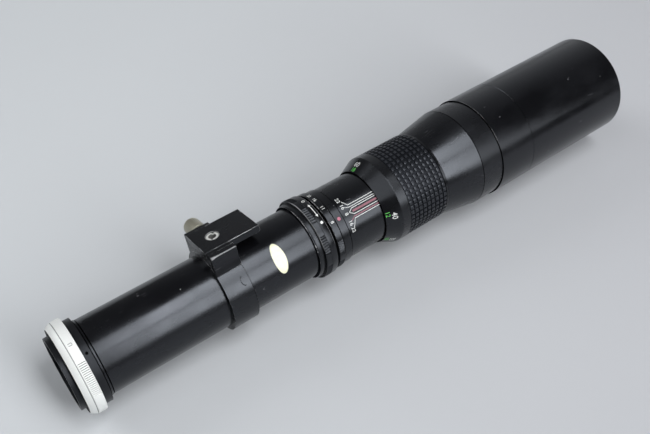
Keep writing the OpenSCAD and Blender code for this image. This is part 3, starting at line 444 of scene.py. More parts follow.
def rubber_finish(name):
    """Moulded rubber: duller on the tops of its pads, glossy round them, darker between them"""
    hollow_metal, gloss, smear_dullness, top_dullness = 0.6, 0.13, 0.08, 0.25
    material, tree, inputs, place = start_material(name)
    use = use_group(tree, HANDLING, place, Specks=0.10, Scratches=0.0)
    y, z = axes(tree, place)[1:]
    radius = diagonal(tree, y, z)
    hollow = remap_mm(tree, radius, HOLLOW_SHADE)
    top = remap_mm(tree, radius, TOP_SHADE)
    base = blend_colour(tree, use["Smear"], tint(0.0045, 0.005, 0.007), tint(0.010, 0.011, 0.014))
    put(tree, blend_colour(tree, use["Speck Mask"], base, tint(0.1, 0.1, 0.1)), inputs["Base Color"])
    put(tree, calc(tree, "MULTIPLY", hollow, hollow_metal), inputs["Metallic"])
    inputs["Specular IOR Level"].default_value = 0.45
    inputs["Specular Tint"].default_value = COOL_SHEEN
    smeared = calc(tree, "MULTIPLY_ADD", use["Smear"], smear_dullness, gloss)
    put(tree, calc(tree, "MULTIPLY_ADD", calc(tree, "MAXIMUM", top, hollow), top_dullness, smeared),
        inputs["Roughness"])
    put(tree, relief(tree, noise(tree, place, scale=6500.0, detail=3.0, roughness=0.6), 0.15, 0.04),
        inputs["Normal"])
    return material


def paint_finish(name, colour, roughness=0.5):
    """Engraving paint, a little uneven"""
    thin_share, unevenness = 0.72, 0.2
    material, tree, inputs, place = start_material(name)
    patchy = noise(tree, place, scale=1800.0, detail=3.0, roughness=0.6)
    put(tree, blend_colour(tree, remap(tree, patchy, 0.35, 0.6), toned(colour, thin_share), colour),
        inputs["Base Color"])
    put(tree, calc(tree, "MULTIPLY_ADD", patchy, unevenness, roughness - unevenness / 2),
        inputs["Roughness"])
    put(tree, relief(tree, patchy, 0.1, 0.03), inputs["Normal"])
    return material


def glass_finish(name, reflection):
    """Polished glass with a thin coating and a trace of dust"""
    polish, dust_dullness = 0.015, 0.35
    material, tree, inputs, place = start_material(name)
    inputs["Base Color"].default_value = tint(0.93, 0.96, 0.98)
    inputs["Transmission Weight"].default_value = 1.0
    inputs["IOR"].default_value = 1.52
    inputs["Specular Tint"].default_value = reflection
    use = use_group(tree, HANDLING, place, Specks=0.12, Scratches=0.0)
    put(tree, calc(tree, "MULTIPLY_ADD", use["Speck Mask"], dust_dullness, polish), inputs["Roughness"])
    return material


def sticker_finish(name):
    """Plain pale film with a thin gold rim and a faint emboss, and nothing written on it"""
    rim_strength = 0.3
    material, tree, inputs, place = start_material(name)
    x, y, z = axes(tree, place)
    along = calc(tree, "MULTIPLY", calc(tree, "SUBTRACT", x, (STICKER_FROM + STICKER_TO) / 2),
                 2 / (STICKER_TO - STICKER_FROM))
    turn = calc(tree, "SUBTRACT", calc(tree, "ARCTAN2", z, y), STICKER_ANGLE)
    across = calc(tree, "MULTIPLY", calc(tree, "SINE", turn), STICKER_R / STICKER_HALF_HEIGHT)
    reach = diagonal(tree, along, across)
    rim = calc(tree, "MULTIPLY", remap(tree, reach, 0.86, 0.9), remap(tree, reach, 0.99, 0.95))
    cloudy = remap(tree, noise(tree, place, scale=260.0, detail=4.0, roughness=0.6), 0.35, 0.65)
    film = blend_colour(tree, cloudy, tint(0.82, 0.83, 0.60), tint(0.90, 0.91, 0.71))
    put(tree, blend_colour(tree, calc(tree, "MULTIPLY", rim, rim_strength), film, tint(0.62, 0.55, 0.22)),
        inputs["Base Color"])
    put(tree, remap(tree, noise(tree, place, scale=900.0), 0.3, 0.7, 0.25, 0.42), inputs["Roughness"])
    put(tree, relief(tree, noise(tree, place, scale=700.0, detail=3.0), 0.12, 0.08), inputs["Normal"])
    return material


# Finishes of the CAD solids that show as they are

# The joints and shaded radii given to these finishes place painted shade in dead black where parts meet and
# in recesses
finishes = {
    "rear_tube": black_finish("rear_tube_black", SATIN, 0.24, (TUBE_SHOULDER, FAR_AWAY), wear=0.35,
                              joints=TUBE_SEAMS, joint_half=0.4),
    "adapter_ring": black_finish("adapter_black", SATIN, 0.42, ends("adapter_ring"), wear=0.34,
                                 sheen=0.34),
    "thread_ring": black_finish("thread_ring_black", SATIN, 0.45),
    "lip_ring": black_finish("lip_ring_black", ENAMEL, 0.28, ends("lip_ring"), wear=0.45, shade_below_r=27.6),
    "main_barrel": black_finish("main_barrel_black", ENAMEL, 0.36, joints=(APERTURE_GAP, FAR_AWAY),
                                joint_half=1.2),
    "index_ring": black_finish("index_ring_black", ENAMEL, 0.28, ends("index_ring"), wear=0.42,
                               shade_below_r=27.6),
    "scale_barrel": black_finish("scale_barrel_black", ENAMEL, 0.24, scratches=0.8),
    "front_barrel": black_finish("front_barrel_black", SATIN, 0.28, (CELL_FROM, FAR_AWAY), wear=0.4,
                                 joints=(CONE_SEAM, CELL_FROM), joint_half=0.3),
    "front_cell": black_finish("front_cell_black", SATIN, 0.22, (CELL_FROM, FAR_AWAY), wear=0.6,
                               middle=100.0, spread=38.0, joints=(CELL_FROM, CELL_TO)),
    "hood": black_finish("hood_black", SATIN, 0.21, (CELL_TO, HOOD_TO), width=0.25, wear=0.5,
                         middle=112.0, spread=34.0, specks=0.04, grain=0.8, bump=0.14),
    "focus_ring": black_finish("focus_ring_black", ENAMEL, 0.25, (FAR_AWAY, FOCUS_TO), wear=0.45,
                               joints=(FOCUS_TO, FAR_AWAY), shade_below_r=28.5, scratches=1.0),
    "guide_screws": black_finish("blackened_steel", tint(0.010, 0.010, 0.011), 0.4),
    # The set screws are blackened steel, and their near black with almost no reflection is also painted
    # shade for the holes they sit in
    "adapter_set_screws": black_finish("blackened_screws_painted_shade", tint(0.001, 0.001, 0.001), 0.7, sheen=0.05),
    "tripod_bush": bright_metal("plated_bush", tint(0.84, 0.84, 0.80), 0.4, metallic=0.4,
                                shade=bush_bore, shaded=0.25),
    "helicoid_nut": bright_metal("machined_brass", tint(0.74, 0.56, 0.27), 0.28),
    "index_dot": paint_finish("red_index_paint", tint(0.50, 0.15, 0.22)),
    "inspection_sticker": sticker_finish("sticker_film"),
}
matt_black = black_finish("matt_black", MATT, 0.62, specks=0.01, scratches=0.0, grain=1.0, bump=0.3,
                          sheen=0.2)
turned_steel = bright_metal("turned_steel", tint(0.62, 0.61, 0.59), 0.3, metallic=0.8)
blade_steel = black_finish("blade_steel", tint(0.03, 0.03, 0.032), 0.3, specks=0.0, rings=0.0)
clear_glass = glass_finish("coated_glass", tint(0.72, 0.62, 1.0))
iris_blades = [f"iris_blade_{number}" for number in range(1, 9)]
for material, parts in (
        (matt_black, ("bayonet_plate", "rear_baffle", "rear_cell", "rear_holder", "front_baffle",
                      "front_foil", "front_holder", "focus_keeper", "iris_pivot_plate", "iris_cam_ring")),
        (turned_steel, ("click_ball", "click_spring", "cam_screw", "foot_screws", "collar_guide_screw")),
        (blade_steel, iris_blades),
        (clear_glass, ("rear_element_a", "rear_element_b", "front_flint", "front_crown"))):
    for part in parts:
        finishes[part] = material
for part, material in finishes.items():
    nodes[part].data.materials.clear()
    nodes[part].data.materials.append(material)

# Finishes of the pieces that this script models

# The collar gets painted shade in a dead black line at its front seam, and its real scuff in the same black
collar_enamel = black_finish(
    "collar_enamel", ENAMEL, 0.27, (BLOCK_FROM, FAR_AWAY), wear=0.42, joints=(COLLAR_SEAM, FAR_AWAY),
    joint_half=0.25, middle=150.0, spread=38.0, mark=collar_scuff, rub=rubbed_block, scratches=1.0,
    specks=0.05, rings=0.1, grain=0.6)
foot_enamel = black_finish("foot_enamel", ENAMEL, 0.27, scratches=1.0, specks=0.05, rings=0.1, grain=0.6)
worn_edge = worn_edge_finish("worn_edge", ENAMEL, 0.3)
satin_chrome = bright_metal("satin_chrome", tint(0.87, 0.88, 0.86), 0.55, darker=0.95, metallic=0.2,
                            shade=breech_grooves, shaded=0.3)
warm_nickel = bright_metal("warm_nickel", tint(0.47, 0.45, 0.37), 0.34, metallic=0.7)
grip_rubber = rubber_finish("grip_rubber")
# Its bright rubbed edges, kept between 57 and 153 degrees round the axis, are wear and also a painted
# highlight along the ring's edges; below its shaded radius it has painted shade
ring_enamel = black_finish("ring_enamel", ENAMEL, 0.27, ends("open_close_ring"), wear=0.6,
                           middle=105.0, spread=48.0, shade_below_r=29.5)
# Below its shaded radius the preset ring has painted shade
preset_enamel = black_finish("preset_enamel", ENAMEL, 0.27, ends("preset_ring"), wear=0.5, shade_below_r=28.5)
white_paint = paint_finish("white_marking", tint(0.78, 0.79, 0.77))
red_paint = paint_finish("red_marking", tint(0.27, 0.095, 0.125))
green_paint = paint_finish("green_marking", tint(0.12, 0.60, 0.10))
black_paint = black_finish("black_marking", tint(0.03, 0.03, 0.03), 0.5)


# Modelling helpers

WELD = 0.002 * MM
MARK_WELD = 0.0005 * MM


def only(*pieces):
    """Selects these pieces and nothing else, with the last one active"""
    bpy.ops.object.select_all(action="DESELECT")
    for piece in pieces:
        piece.select_set(True)
        bpy.context.view_layer.objects.active = piece


def edit(piece):
    only(piece)
    bpy.ops.object.mode_set(mode="EDIT")
    bpy.ops.mesh.select_all(action="SELECT")


def leave_edit():
    bpy.ops.object.mode_set(mode="OBJECT")


def tidy_surface(piece, smooth_angle=30.0):
    edit(piece)
    bpy.ops.mesh.remove_doubles(threshold=WELD)
    bpy.ops.mesh.normals_make_consistent(inside=False)
    leave_edit()
    bpy.ops.object.shade_smooth_by_angle(angle=math.radians(smooth_angle))


def finish(piece, name, body, material, replaced=()):
    piece.name = name
    piece.data.name = name
    piece.data.materials.clear()
    piece.data.materials.append(material)
    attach(piece, body)
    if replaced:
        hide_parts(*replaced)
    return piece


def circle(vertices, radius, fill_type="NOTHING"):
    bpy.ops.object.select_all(action="DESELECT")
    bpy.ops.mesh.primitive_circle_add(vertices=vertices, radius=radius, fill_type=fill_type,
                                      location=(0, 0, 0))
    return bpy.context.object


def turned(profile, steps):
    """Solid turned round the X axis from a closed profile of places and radii, in millimetres"""
    piece = circle(len(profile), MM)
    for vertex, (x, radius) in zip(piece.data.vertices, profile):
        vertex.co = (x * MM, radius * MM, 0)
    edit(piece)
    bpy.ops.mesh.spin(steps=steps, angle=2 * math.pi, center=(0, 0, 0), axis=(1, 0, 0))
    leave_edit()
    return piece


def rounded_corner(end, radius, steps, side):
    """Points of a rounded corner, from steps of inset and drop; side is 1 at the rear, -1 in front"""
    return [(end + side * inset, radius - drop) for inset, drop in steps[::side]]


def in_patches(angle, patches):
    return any((angle - start) % 360 < length for start, length in patches)


def knurl(piece, steps, span, r_least, depth, patches=((0, 360),), every=3, pointed=False):
    """Cuts fine grooves along the axis into a turned band, inside patches of start and length"""
    x_from, x_to = span
    for vertex in piece.data.vertices:
        x, y, z = vertex.co
        radius = math.hypot(y, z)
        angle = math.degrees(math.atan2(z, y)) % 360
        column = round(angle / 360 * steps)
        inside = x_from * MM <= x <= x_to * MM and radius > r_least * MM
        slope = abs(column % every / every - 0.5) * 2
        cut = slope if pointed else float(column % every == 0)
        if inside and cut and in_patches(angle, patches):
            share = (radius - cut * depth * MM) / radius
            vertex.co = (x, y * share, z * share)


def bevelled_copy(node, width):
    """A copy of a CAD node's mesh with its edges broken, and a second slot for those edges"""
    flat_angle, sharp_angle, smooth_angle = 0.5, 35.0, 16.0
    mesh = nodes[node].data.copy()
    mesh.materials.clear()
    for _ in range(2):
        mesh.materials.append(None)
    piece = bpy.data.objects.new(node, mesh)
    bpy.context.scene.collection.objects.link(piece)
    edit(piece)
    bpy.ops.mesh.remove_doubles(threshold=WELD)
    bpy.ops.mesh.dissolve_limited(angle_limit=math.radians(flat_angle))
    leave_edit()
    only(piece)
    bevel = piece.modifiers.new("broken_edges", "BEVEL")
    bevel.width = width * MM
    bevel.segments = 1
    bevel.limit_method = "ANGLE"
    bevel.angle_limit = math.radians(sharp_angle)
    bevel.use_clamp_overlap = True
    bevel.material = 1
    bpy.ops.object.modifier_apply(modifier=bevel.name)
    tidy_surface(piece, smooth_angle)
    return piece


# Printed marks, drawn flat in metres: x is along the axis and y is the arc round it

# Height, spacing and extra weight of a digit, as shares of the font's own
DIGIT_SHARE = 0.72
DIGIT_SPACING = 1.06
DIGIT_WEIGHT = 0.005
# Thickness of the paint, and how deep its foot lies in the metal, in millimetres
PAINT_THICK = 0.05
PAINT_SUNK = 0.02


def flat_place(x, angle, radius):
    """The place, in metres, of a point given by its place in millimetres and its angle"""
    return Vector((x * MM, math.radians(angle) * radius * MM, 0))


def flat_text(text, x, angle, radius, height):
    bpy.ops.object.select_all(action="DESELECT")
    bpy.ops.object.text_add(location=(0, 0, 0))
    letters = bpy.context.object.data
    letters.body = text
    letters.size = height * MM / DIGIT_SHARE
    letters.offset = DIGIT_WEIGHT * letters.size
    letters.space_character = DIGIT_SPACING
    letters.align_x = "CENTER"
    letters.align_y = "CENTER"
    bpy.ops.object.convert(target="MESH")
    piece = bpy.context.object
    for vertex in piece.data.vertices:
        across, up, _ = vertex.co
        vertex.co = flat_place(x, angle, radius) + Vector((up, across, 0))
    return piece


def flat_stroke(start, end, radius, width):
    """A straight stroke between two points of place and angle"""
    bpy.ops.object.select_all(action="DESELECT")
    bpy.ops.mesh.primitive_grid_add(x_subdivisions=12, y_subdivisions=1, size=1, location=(0, 0, 0))
    piece = bpy.context.object
    a = flat_place(*start, radius)
    b = flat_place(*end, radius)
    side = Vector((-(b - a).y, (b - a).x, 0)).normalized() * width * MM
    for vertex in piece.data.vertices:
        share, across = vertex.co.x + 0.5, vertex.co.y
        vertex.co = a + (b - a) * share + side * across
    return piece


def flat_disc(x, angle, radius, diameter, sides=20):
    piece = circle(sides, diameter / 2 * MM, "NGON")
    for vertex in piece.data.vertices:
        vertex.co += flat_place(x, angle, radius)
    return piece


def flat_circle(x, angle, radius, diameter, width):
    piece = flat_disc(x, angle, radius, diameter, sides=28)
    edit(piece)
    bpy.ops.mesh.inset(thickness=width * MM)
    bpy.ops.mesh.delete(type="FACE")
    leave_edit()
    return piece


def flat_arrow(x, base, tip, radius, half_width):
    """A triangle with its base at one angle and its tip at another"""
    piece = circle(3, MM, "NGON")
    corners = ((x - half_width, base), (x + half_width, base), (x, tip))
    for vertex, corner in zip(piece.data.vertices, corners):
        vertex.co = flat_place(*corner, radius)
    return piece


def printed(marks, name, radius, body, material, radius_at=None):
    """Joins flat marks, gives them the thickness of the paint and wraps them round the axis"""
    only(*reversed(marks))
    if len(marks) > 1:
        bpy.ops.object.join()
    piece = bpy.context.object
    edit(piece)
    bpy.ops.mesh.remove_doubles(threshold=MARK_WELD)
    bpy.ops.mesh.extrude_region_move(TRANSFORM_OT_translate={"value": (0, 0, PAINT_THICK * MM)})
    leave_edit()
    for vertex in piece.data.vertices:
        x, arc, lift = vertex.co
        angle = arc / (radius * MM)
        surface = (radius_at(x / MM) if radius_at else radius) * MM
        reach = surface + lift - PAINT_SUNK * MM
        vertex.co = (x, reach * math.cos(angle), reach * math.sin(angle))
    tidy_surface(piece, 20.0)
    return finish(piece, name, body, material)


# Breech ring: tapered band, groove and a knurled band with its plain lands

BREECH_STEPS = 444
BREECH_BORE_R = 24.95
BREECH_RECESS, BREECH_RECESS_R = 1.05, 29.25
TAPER_FROM_R, TAPER_TO_R = 29.75, 31.8
BREECH_LIP_R, BREECH_GROOVE_R = 31.85, 31.6
BREECH_CORNER = ((0.0, 0.6), (0.05, 0.3), (0.25, 0.1), (0.55, 0.0))
groove_from, groove_to = BREECH_GROOVE
breech = turned([
    (BREECH_RECESS, BREECH_BORE_R), (BREECH_RECESS, BREECH_RECESS_R),
    (BREECH_FROM + 0.1, BREECH_RECESS_R), (BREECH_FROM, BREECH_RECESS_R + 0.15),
    (BREECH_FROM, TAPER_FROM_R - 0.2), (BREECH_FROM + 0.15, TAPER_FROM_R),
    (groove_from - 0.3, TAPER_TO_R), (groove_from, BREECH_LIP_R),
    (groove_from, BREECH_GROOVE_R), (groove_to, BREECH_GROOVE_R),
    (groove_to, BREECH_LIP_R), (groove_to + 0.25, BREECH_R - 0.05), (groove_to + 0.55, BREECH_R),
    (BREECH_KNURL[0] + 0.1, BREECH_R), *rounded_corner(BREECH_TO, BREECH_R, BREECH_CORNER, -1),
    (BREECH_TO, BREECH_BORE_R),
], BREECH_STEPS)
knurl(breech, BREECH_STEPS, BREECH_KNURL, r_least=31.5, depth=0.55,
      patches=[(2.4 + 120 * i, 43.8) for i in range(3)])
tidy_surface(breech)
finish(breech, "knurled_breech_ring", "breech", satin_chrome, ["breech_ring"])

# The index mark on it: an open bracket round a dot
BRACKET_FROM, BRACKET_TO, BRACKET_STROKE = 6.1, 8.3, 0.28
bracket = []
for outer, inner in ((99.2, 99.9), (102.0, 101.3)):
    bracket += [flat_stroke((BRACKET_FROM, outer), (BRACKET_TO, outer), BREECH_R, BRACKET_STROKE),
                flat_stroke((BRACKET_FROM, outer), (BRACKET_FROM, inner), BREECH_R, BRACKET_STROKE)]
bracket.append(flat_disc(8.2, 100.6, BREECH_R, diameter=0.5))
printed(bracket, "breech_index_mark", BREECH_R - PAINT_SUNK, "breech", black_paint)

# Open and close ring, with ridges on its rear band and a double arrow on its plain one

RING_STEPS = 600
RIDGE_EVERY = 6
OPEN_FROM, OPEN_TO, OPEN_R = ring_size("open_close_ring")
OPEN_BORE_R, OPEN_GROOVE_R, OPEN_MARK_R = 29.05, 30.1, 30.25
OPEN_GROOVE_FROM, OPEN_GROOVE_TO = 182.6, 182.8
OPEN_CORNER = ((0.0, 0.5), (0.15, 0.2), (0.45, 0.0))
OPEN_FRONT_CORNER = ((0.0, 0.4), (0.2, 0.15), (0.55, 0.02))
open_close = turned([
    (OPEN_FROM, OPEN_BORE_R), *rounded_corner(OPEN_FROM, OPEN_R, OPEN_CORNER, 1),
    (OPEN_GROOVE_FROM - 0.3, OPEN_R), (OPEN_GROOVE_FROM - 0.15, OPEN_R - 0.1),
    (OPEN_GROOVE_FROM, OPEN_GROOVE_R), (OPEN_GROOVE_TO, OPEN_GROOVE_R),
    (OPEN_GROOVE_TO + 0.15, OPEN_MARK_R), *rounded_corner(OPEN_TO, OPEN_MARK_R, OPEN_FRONT_CORNER, -1),
    (OPEN_TO, OPEN_BORE_R),
], RING_STEPS)
knurl(open_close, RING_STEPS, (178.5, 182.35), r_least=30.2, depth=0.55,
      patches=[(88 + 45 * i, 26) for i in range(8)], every=RIDGE_EVERY, pointed=True)
tidy_surface(open_close)
finish(open_close, "knurled_open_close_ring", "aperture", ring_enamel, ["open_close_ring"])

ARROW_X, ARROW_HALF_WIDTH = 185.3, 1.05
printed([
    flat_circle(184.9, 75.5, OPEN_MARK_R, diameter=2.4, width=0.5),
    flat_disc(185.2, 117.0, OPEN_MARK_R, diameter=2.2, sides=24),
    flat_stroke((ARROW_X, 87.0), (ARROW_X, 106.0), OPEN_MARK_R, width=0.55),
    flat_arrow(ARROW_X, 88.6, 84.9, OPEN_MARK_R, ARROW_HALF_WIDTH),
    flat_arrow(ARROW_X, 104.5, 108.2, OPEN_MARK_R, ARROW_HALF_WIDTH),
], "open_close_marks", OPEN_MARK_R, "aperture", white_paint)

# Preset ring with its ridges and stop numbers

PRESET_FROM, PRESET_TO, PRESET_R = ring_size("preset_ring")
PRESET_BORE_R = 26.9
PRESET_CORNER = ((0.0, 0.4), (0.1, 0.15), (0.35, 0.0))
STOP_NUMBERS = (("22", 67.8), ("16", 80.7), ("11", 99.1), ("8", 123.6))
preset = turned([
    (PRESET_FROM, PRESET_BORE_R), *rounded_corner(PRESET_FROM, PRESET_R, PRESET_CORNER, 1),
    *rounded_corner(PRESET_TO, PRESET_R, PRESET_CORNER, -1), (PRESET_TO, PRESET_BORE_R),
], RING_STEPS)
knurl(preset, RING_STEPS, (190.0, 194.4), r_least=29.0, depth=0.5,
      patches=[(151.5 + 35.5 * i, 24.2) for i in range(6)], every=RIDGE_EVERY, pointed=True)
tidy_surface(preset)
finish(preset, "knurled_preset_ring", "preset", preset_enamel, ["preset_ring"])
printed([flat_text(text, 192.3, angle, PRESET_R, height=2.5) for text, angle in STOP_NUMBERS],
        "preset_stop_numbers", PRESET_R, "preset", white_paint)

# Depth of field scale: numbers, a line from each to the skirt, and two red ones between them

SCALE_R = 27.5
SCALE_TEXT_X, LINE_FROM, LINE_TO = 205.4, 209.8, 232.0
LINE_WIDTH, SLANT_WIDTH = 0.42, 0.36
DEPTH_NUMBERS = (("22", 99.1), ("16", 111.1), ("8", 123.3), ("16", 137.3), ("22", 148.2))


def scale_line(start_x, start_angle, end_angle, width=LINE_WIDTH, end_x=LINE_TO):
    return flat_stroke((start_x, start_angle), (end_x, end_angle), SCALE_R, width)


white_marks = [flat_text(text, SCALE_TEXT_X, angle, SCALE_R, height=2.75) for text, angle in DEPTH_NUMBERS]
white_marks += [scale_line(LINE_FROM, angle, angle) for angle in (112.2, 115.9, 134.0)]
white_marks += [scale_line(LINE_FROM + 1.0, angle, angle) for angle in (118.8, 127.9)]
white_marks += [scale_line(207.9, 123.3, angle, end_x=LINE_FROM + 1.1) for angle in (118.8, 127.9)]
white_marks += [scale_line(start, number_angle, line_angle, SLANT_WIDTH, LINE_FROM)
                for start, number_angle, line_angle in ((206.9, 103.6, 112.2), (207.2, 114.2, 115.9),
                                                        (206.6, 146.0, 134.0))]
printed(white_marks, "depth_of_field_white", SCALE_R, "barrel", white_paint)
printed([
    scale_line(LINE_FROM + 0.7, 123.4, 123.4, width=1.45),
    scale_line(LINE_FROM, 131.1, 131.1, width=0.75),
    scale_line(207.0, 135.4, 131.1, width=0.5, end_x=LINE_FROM),
], "depth_of_field_red", SCALE_R, "barrel", red_paint)

# Distance scale on the skirt of the focus ring: feet in white, metres in green

SKIRT_FROM, SKIRT_LENGTH = 231.45, 11.2
SKIRT_FROM_R, SKIRT_TO_R = 28.8, 34.2
FEET_X, FEET_R, METRES_X, METRES_R = 237.6, 31.6, 233.4, 29.7
# Metres, feet and the angle of each
DISTANCES = (("10", "33", 202.0, 205.5), ("12", "40", 152.0, 156.6), ("18", "60", 62.3, 61.9),
             ("30", "100", 3.5, 3.5), ("60", "200", 315.0, 315.0))


def skirt_radius(x):
    share = (x - SKIRT_FROM) / SKIRT_LENGTH
    return SKIRT_FROM_R + share * (SKIRT_TO_R - SKIRT_FROM_R)


feet = [flat_text(foot, FEET_X, angle, FEET_R, height=3.8) for _, foot, _, angle in DISTANCES]
feet.append(flat_text("∞", FEET_X - 0.1, 267.0, FEET_R, height=3.6))
printed(feet, "distance_feet", FEET_R, "focus", white_paint, skirt_radius)
printed([flat_text(metre, METRES_X, angle, METRES_R, height=3.1) for metre, _, angle, _ in DISTANCES],
        "distance_metres", METRES_R, "focus", green_paint, skirt_radius)

# Rubber grip: nine columns of square pads all round a thin sleeve

PAD_COLUMNS, PAD_ROWS, SLEEVE_STEPS = 9, 54, 216
PAD_GAP, PAD_DOME, PAD_TAPER, PAD_ROOT = 1.05, 0.22, 0.93, 0.1
UPWARD = 0.9
# Inset and share of the dome's height of the two steps of a pad's top
PAD_STEPS = ((0.3, 0.6), (0.4, 0.4))
pad_pitch = (GRIP_TO - GRIP_FROM) / PAD_COLUMNS
row_pitch = 2 * math.pi * PAD_TOP / PAD_ROWS


def rubber_pads():
    bpy.ops.object.select_all(action="DESELECT")
    bpy.ops.mesh.primitive_cube_add(size=1, location=(0, 0, 0))
    piece = bpy.context.object
    for vertex in piece.data.vertices:
        x, y, z = vertex.co
        top = z > 0
        taper = PAD_TAPER if top else 1.0
        vertex.co = Vector((
            GRIP_FROM + pad_pitch / 2 + x * (pad_pitch - PAD_GAP) * taper,
            y * (row_pitch - PAD_GAP) * taper,
            PAD_TOP - PAD_DOME if top else PAD_FLOOR - PAD_ROOT,
        )) * MM
    edit(piece)
    bpy.ops.mesh.select_mode(type="FACE")
    bpy.ops.mesh.select_all(action="DESELECT")
    leave_edit()
    for face in piece.data.polygons:
        face.select = face.normal.z > UPWARD
    bpy.ops.object.mode_set(mode="EDIT")
    for inset, rise in PAD_STEPS:
        bpy.ops.mesh.inset(thickness=inset * MM, depth=PAD_DOME * rise * MM)
    bpy.ops.mesh.select_all(action="SELECT")
    for _ in range(PAD_COLUMNS - 1):
        bpy.ops.mesh.duplicate_move(TRANSFORM_OT_translate={"value": (pad_pitch * MM, 0, 0)})
    bpy.ops.mesh.select_all(action="SELECT")
    bpy.ops.mesh.spin(steps=PAD_ROWS - 1, dupli=True, angle=2 * math.pi * (PAD_ROWS - 1) / PAD_ROWS,
                      center=(0, 0, 0), axis=(1, 0, 0))
    leave_edit()
    return piece


grip = turned([
    (GRIP_FROM, SLEEVE_BORE_R), (GRIP_FROM, PAD_FLOOR), (GRIP_TO, PAD_FLOOR), (GRIP_TO, SLEEVE_BORE_R),
], SLEEVE_STEPS)
only(rubber_pads(), grip)
bpy.ops.object.join()
tidy_surface(grip, 28.0)
finish(grip, "waffle_grip", "focus", grip_rubber, ["focus_grip"])

# Tripod collar and foot plate with broken, worn edges

BROKEN_EDGE = 0.36
for part, name, enamel in (("tripod_collar", "rounded_collar", collar_enamel),
                           ("foot_plate", "rounded_foot_plate", foot_enamel)):
    piece = bevelled_copy(part, BROKEN_EDGE)
    worn_faces = [face.index for face in piece.data.polygons if face.material_index == 1]
    finish(piece, name, "collar", enamel, [part])
    piece.data.materials.append(worn_edge)
    for index in worn_faces:
        piece.data.polygons[index].material_index = 1

# Knurled thumbscrew, turned along its own X axis and then laid across the collar's block

SCREW_STEPS = 144
SHANK_FROM, SHANK_TO, HEAD_FROM, HEAD_TO = -17.55, 19.9, 23.6, 37.1
SHANK_R, NECK_R, HEAD_R = 2.0, 3.5, 6.2
SHANK_CORNER = ((0.0, 0.2), (0.2, 0.0))
HEAD_CORNER = ((0.0, 0.7), (0.15, 0.3), (0.4, 0.08), (0.9, 0.0))
HEAD_END_CORNER = ((0.0, 1.0), (0.3, 0.45), (0.8, 0.15), (1.5, 0.0))
THUMBSCREW_X, THUMBSCREW_UP = 116.2, 29.6965
thumbscrew = turned([
    (SHANK_FROM, 0.0), *rounded_corner(SHANK_FROM, SHANK_R, SHANK_CORNER, 1), (SHANK_TO, SHANK_R),
    (SHANK_TO, NECK_R), (HEAD_FROM, NECK_R), *rounded_corner(HEAD_FROM, HEAD_R, HEAD_CORNER, 1),
    *rounded_corner(HEAD_TO, HEAD_R, HEAD_END_CORNER, -1), (HEAD_TO, 0.0),
], SCREW_STEPS)
knurl(thumbscrew, SCREW_STEPS, (24.0, 36.4), r_least=5.95, depth=0.6, every=6)
thumbscrew.data.transform(
    Matrix.Rotation(FOOT_ANGLE - math.pi / 2, 4, "X")
    @ Matrix.Translation(Vector((THUMBSCREW_X, 0, THUMBSCREW_UP)) * MM)
    @ Matrix.Rotation(math.pi / 2, 4, "Z"))
tidy_surface(thumbscrew)
finish(thumbscrew, "knurled_thumbscrew", "thumbscrew", warm_nickel, ["clamp_thumbscrew"])

# Studio: floor, lamps, room and camera

FLOOR_SIZE = 9.0
# The paper's own colour, and a darker one painted in as shade towards the far right
FLOOR_NEAR = tint(0.545, 0.563, 0.580)
FLOOR_PAINTED_SHADE = tint(0.420, 0.423, 0.444)
FADE_DIRECTION = (0.715, -0.70)
FADE_FROM, FADE_TO, FADE_UNEVENNESS = -0.2, 0.6, 0.2
REAR_CONTACT = Vector((8.0, 0, -32.1)) * MM
FRONT_CONTACT = Vector((336.3, 0, -39.9)) * MM


def build_floor():
    """Pale paper that the lens lies on with its breech ring and front cell, with painted shade darkening it
    towards the far right
    """
    run = FRONT_CONTACT - REAR_CONTACT
    tilt = math.atan2(run.z, run.x)
    bpy.ops.object.select_all(action="DESELECT")
    bpy.ops.mesh.primitive_plane_add(size=FLOOR_SIZE, location=(0, 0, 0))
    floor = bpy.context.object
    floor.data.transform(Matrix.Translation(REAR_CONTACT) @ Matrix.Rotation(-tilt, 4, "Y"))
    floor.name = "floor"
    material, tree, inputs, place = start_material("pale_paper")
    x, y = axes(tree, place)[:2]
    slant = calc(tree, "ADD", *[calc(tree, "MULTIPLY", side, share) for side, share in
                                zip((x, y), FADE_DIRECTION)])
    uneven = calc(tree, "MULTIPLY_ADD", noise(tree, place, scale=3.0), FADE_UNEVENNESS, -FADE_UNEVENNESS / 2)
    along = calc(tree, "ADD", remap(tree, slant, FADE_FROM, FADE_TO), uneven, clamp=True)
    put(tree, blend_colour(tree, along, FLOOR_NEAR, FLOOR_PAINTED_SHADE), inputs["Base Color"])
    inputs["Roughness"].default_value = 0.9
    floor.data.materials.append(material)


LAMP_COLOUR = (0.97, 0.985, 1.0)
# Name, place, the point aimed at, width, height and strength
LAMPS = (
    ("overhead_softbox", (0.573, -0.96, 2.325), (0.573, -0.96, 0.0), 0.578, 1.56, 10.2),
    ("overhead_fill", (1.159, -0.96, 2.325), (1.159, -0.96, 0.0), 0.595, 1.56, 4.0),
    ("side_softbox", (0.863, -2.88, 2.13), (0.863, 0.0, 2.13), 0.749, 2.74, 9.4),
    ("side_fill", (1.645, -2.88, 2.13), (1.645, 0.0, 2.13), 0.816, 2.74, 4.9),
    ("front_fill", (2.461, -2.88, 2.13), (2.461, 0.0, 2.13), 0.816, 2.74, 2.4),
    ("rear_softbox", (-1.55, 2.30, 1.95), (0.2, 0.0, 0.0), 1.6, 1.6, 4.2),
    ("upper_fill", (-1.00, -0.10, 2.30), (-1.00, -0.10, 0.0), 1.2, 2.0, 1.75),
    ("near_fill", (-1.05, -1.75, 2.30), (-1.05, -1.75, 0.0), 0.75, 1.3, 2.3),
)


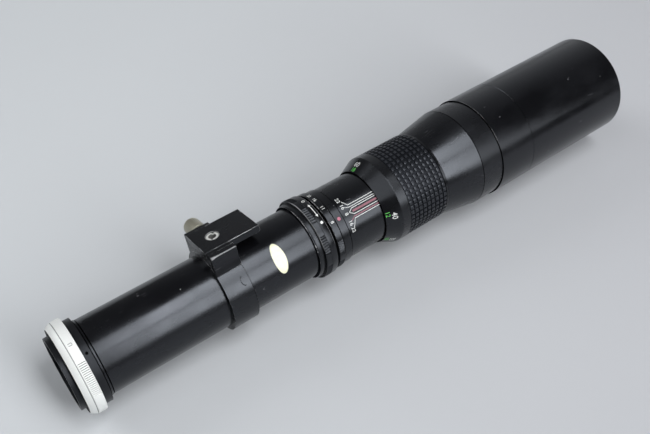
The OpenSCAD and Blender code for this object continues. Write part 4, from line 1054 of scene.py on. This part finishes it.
def hang_lamp(name, place, target, width, height, strength):
    lamp = bpy.data.lights.new(name, "AREA")
    lamp.shape = "RECTANGLE"
    lamp.size = width
    lamp.size_y = height
    lamp.energy = strength * math.pi * width * height
    lamp.color = LAMP_COLOUR
    holder = bpy.data.objects.new(name, lamp)
    bpy.context.scene.collection.objects.link(holder)
    holder.location = place
    aim = Vector(target) - Vector(place)
    holder.rotation_euler = aim.to_track_quat("-Z", "Y").to_euler()


def build_room():
    """A dim room, with a paler wall towards the lens's front and far side"""
    dim, wall_strength, wall_narrowness = 0.05, 1.25, 1.4
    world = bpy.data.worlds.new("dim_room")
    world.use_nodes = True
    tree = world.node_tree
    shader = tree.nodes["Background"].inputs
    shader["Color"].default_value = tint(0.93, 0.96, 1.0)
    x, y = axes(tree, tree.nodes.new("ShaderNodeTexCoord").outputs["Generated"])[:2]
    ahead = calc(tree, "POWER", calc(tree, "MAXIMUM", x, 0.0), wall_narrowness)
    wall = calc(tree, "MULTIPLY", ahead, calc(tree, "MAXIMUM", y, 0.0))
    put(tree, calc(tree, "MULTIPLY_ADD", wall, wall_strength, dim), shader["Strength"])
    bpy.context.scene.world = world


build_floor()
for lamp in LAMPS:
    hang_lamp(*lamp)
build_room()

# The camera stands where the photograph was taken from: its place, and the axes of its frame
CAMERA_PLACE = Vector((-25.05, -300.5, 434.0)) * MM
CAMERA_RIGHT = Vector((0.8039, -0.5949, 0.0015))
CAMERA_UP = Vector((0.4447, 0.6025, 0.6631))
CAMERA_BACK = Vector((-0.3952, -0.5322, 0.7487))
CAMERA_LENS = 44.35
CAMERA_SENSOR = 36.0
camera = bpy.data.objects.new("camera", bpy.data.cameras.new("camera"))
bpy.context.scene.collection.objects.link(camera)
camera.data.lens = CAMERA_LENS
camera.data.sensor_width = CAMERA_SENSOR
camera.data.clip_start = 0.01
camera.matrix_world = Matrix.Translation(CAMERA_PLACE) @ Matrix(
    (CAMERA_RIGHT, CAMERA_UP, CAMERA_BACK)).transposed().to_4x4()
bpy.context.scene.camera = camera
bpy.context.scene.view_settings.view_transform = "Standard"
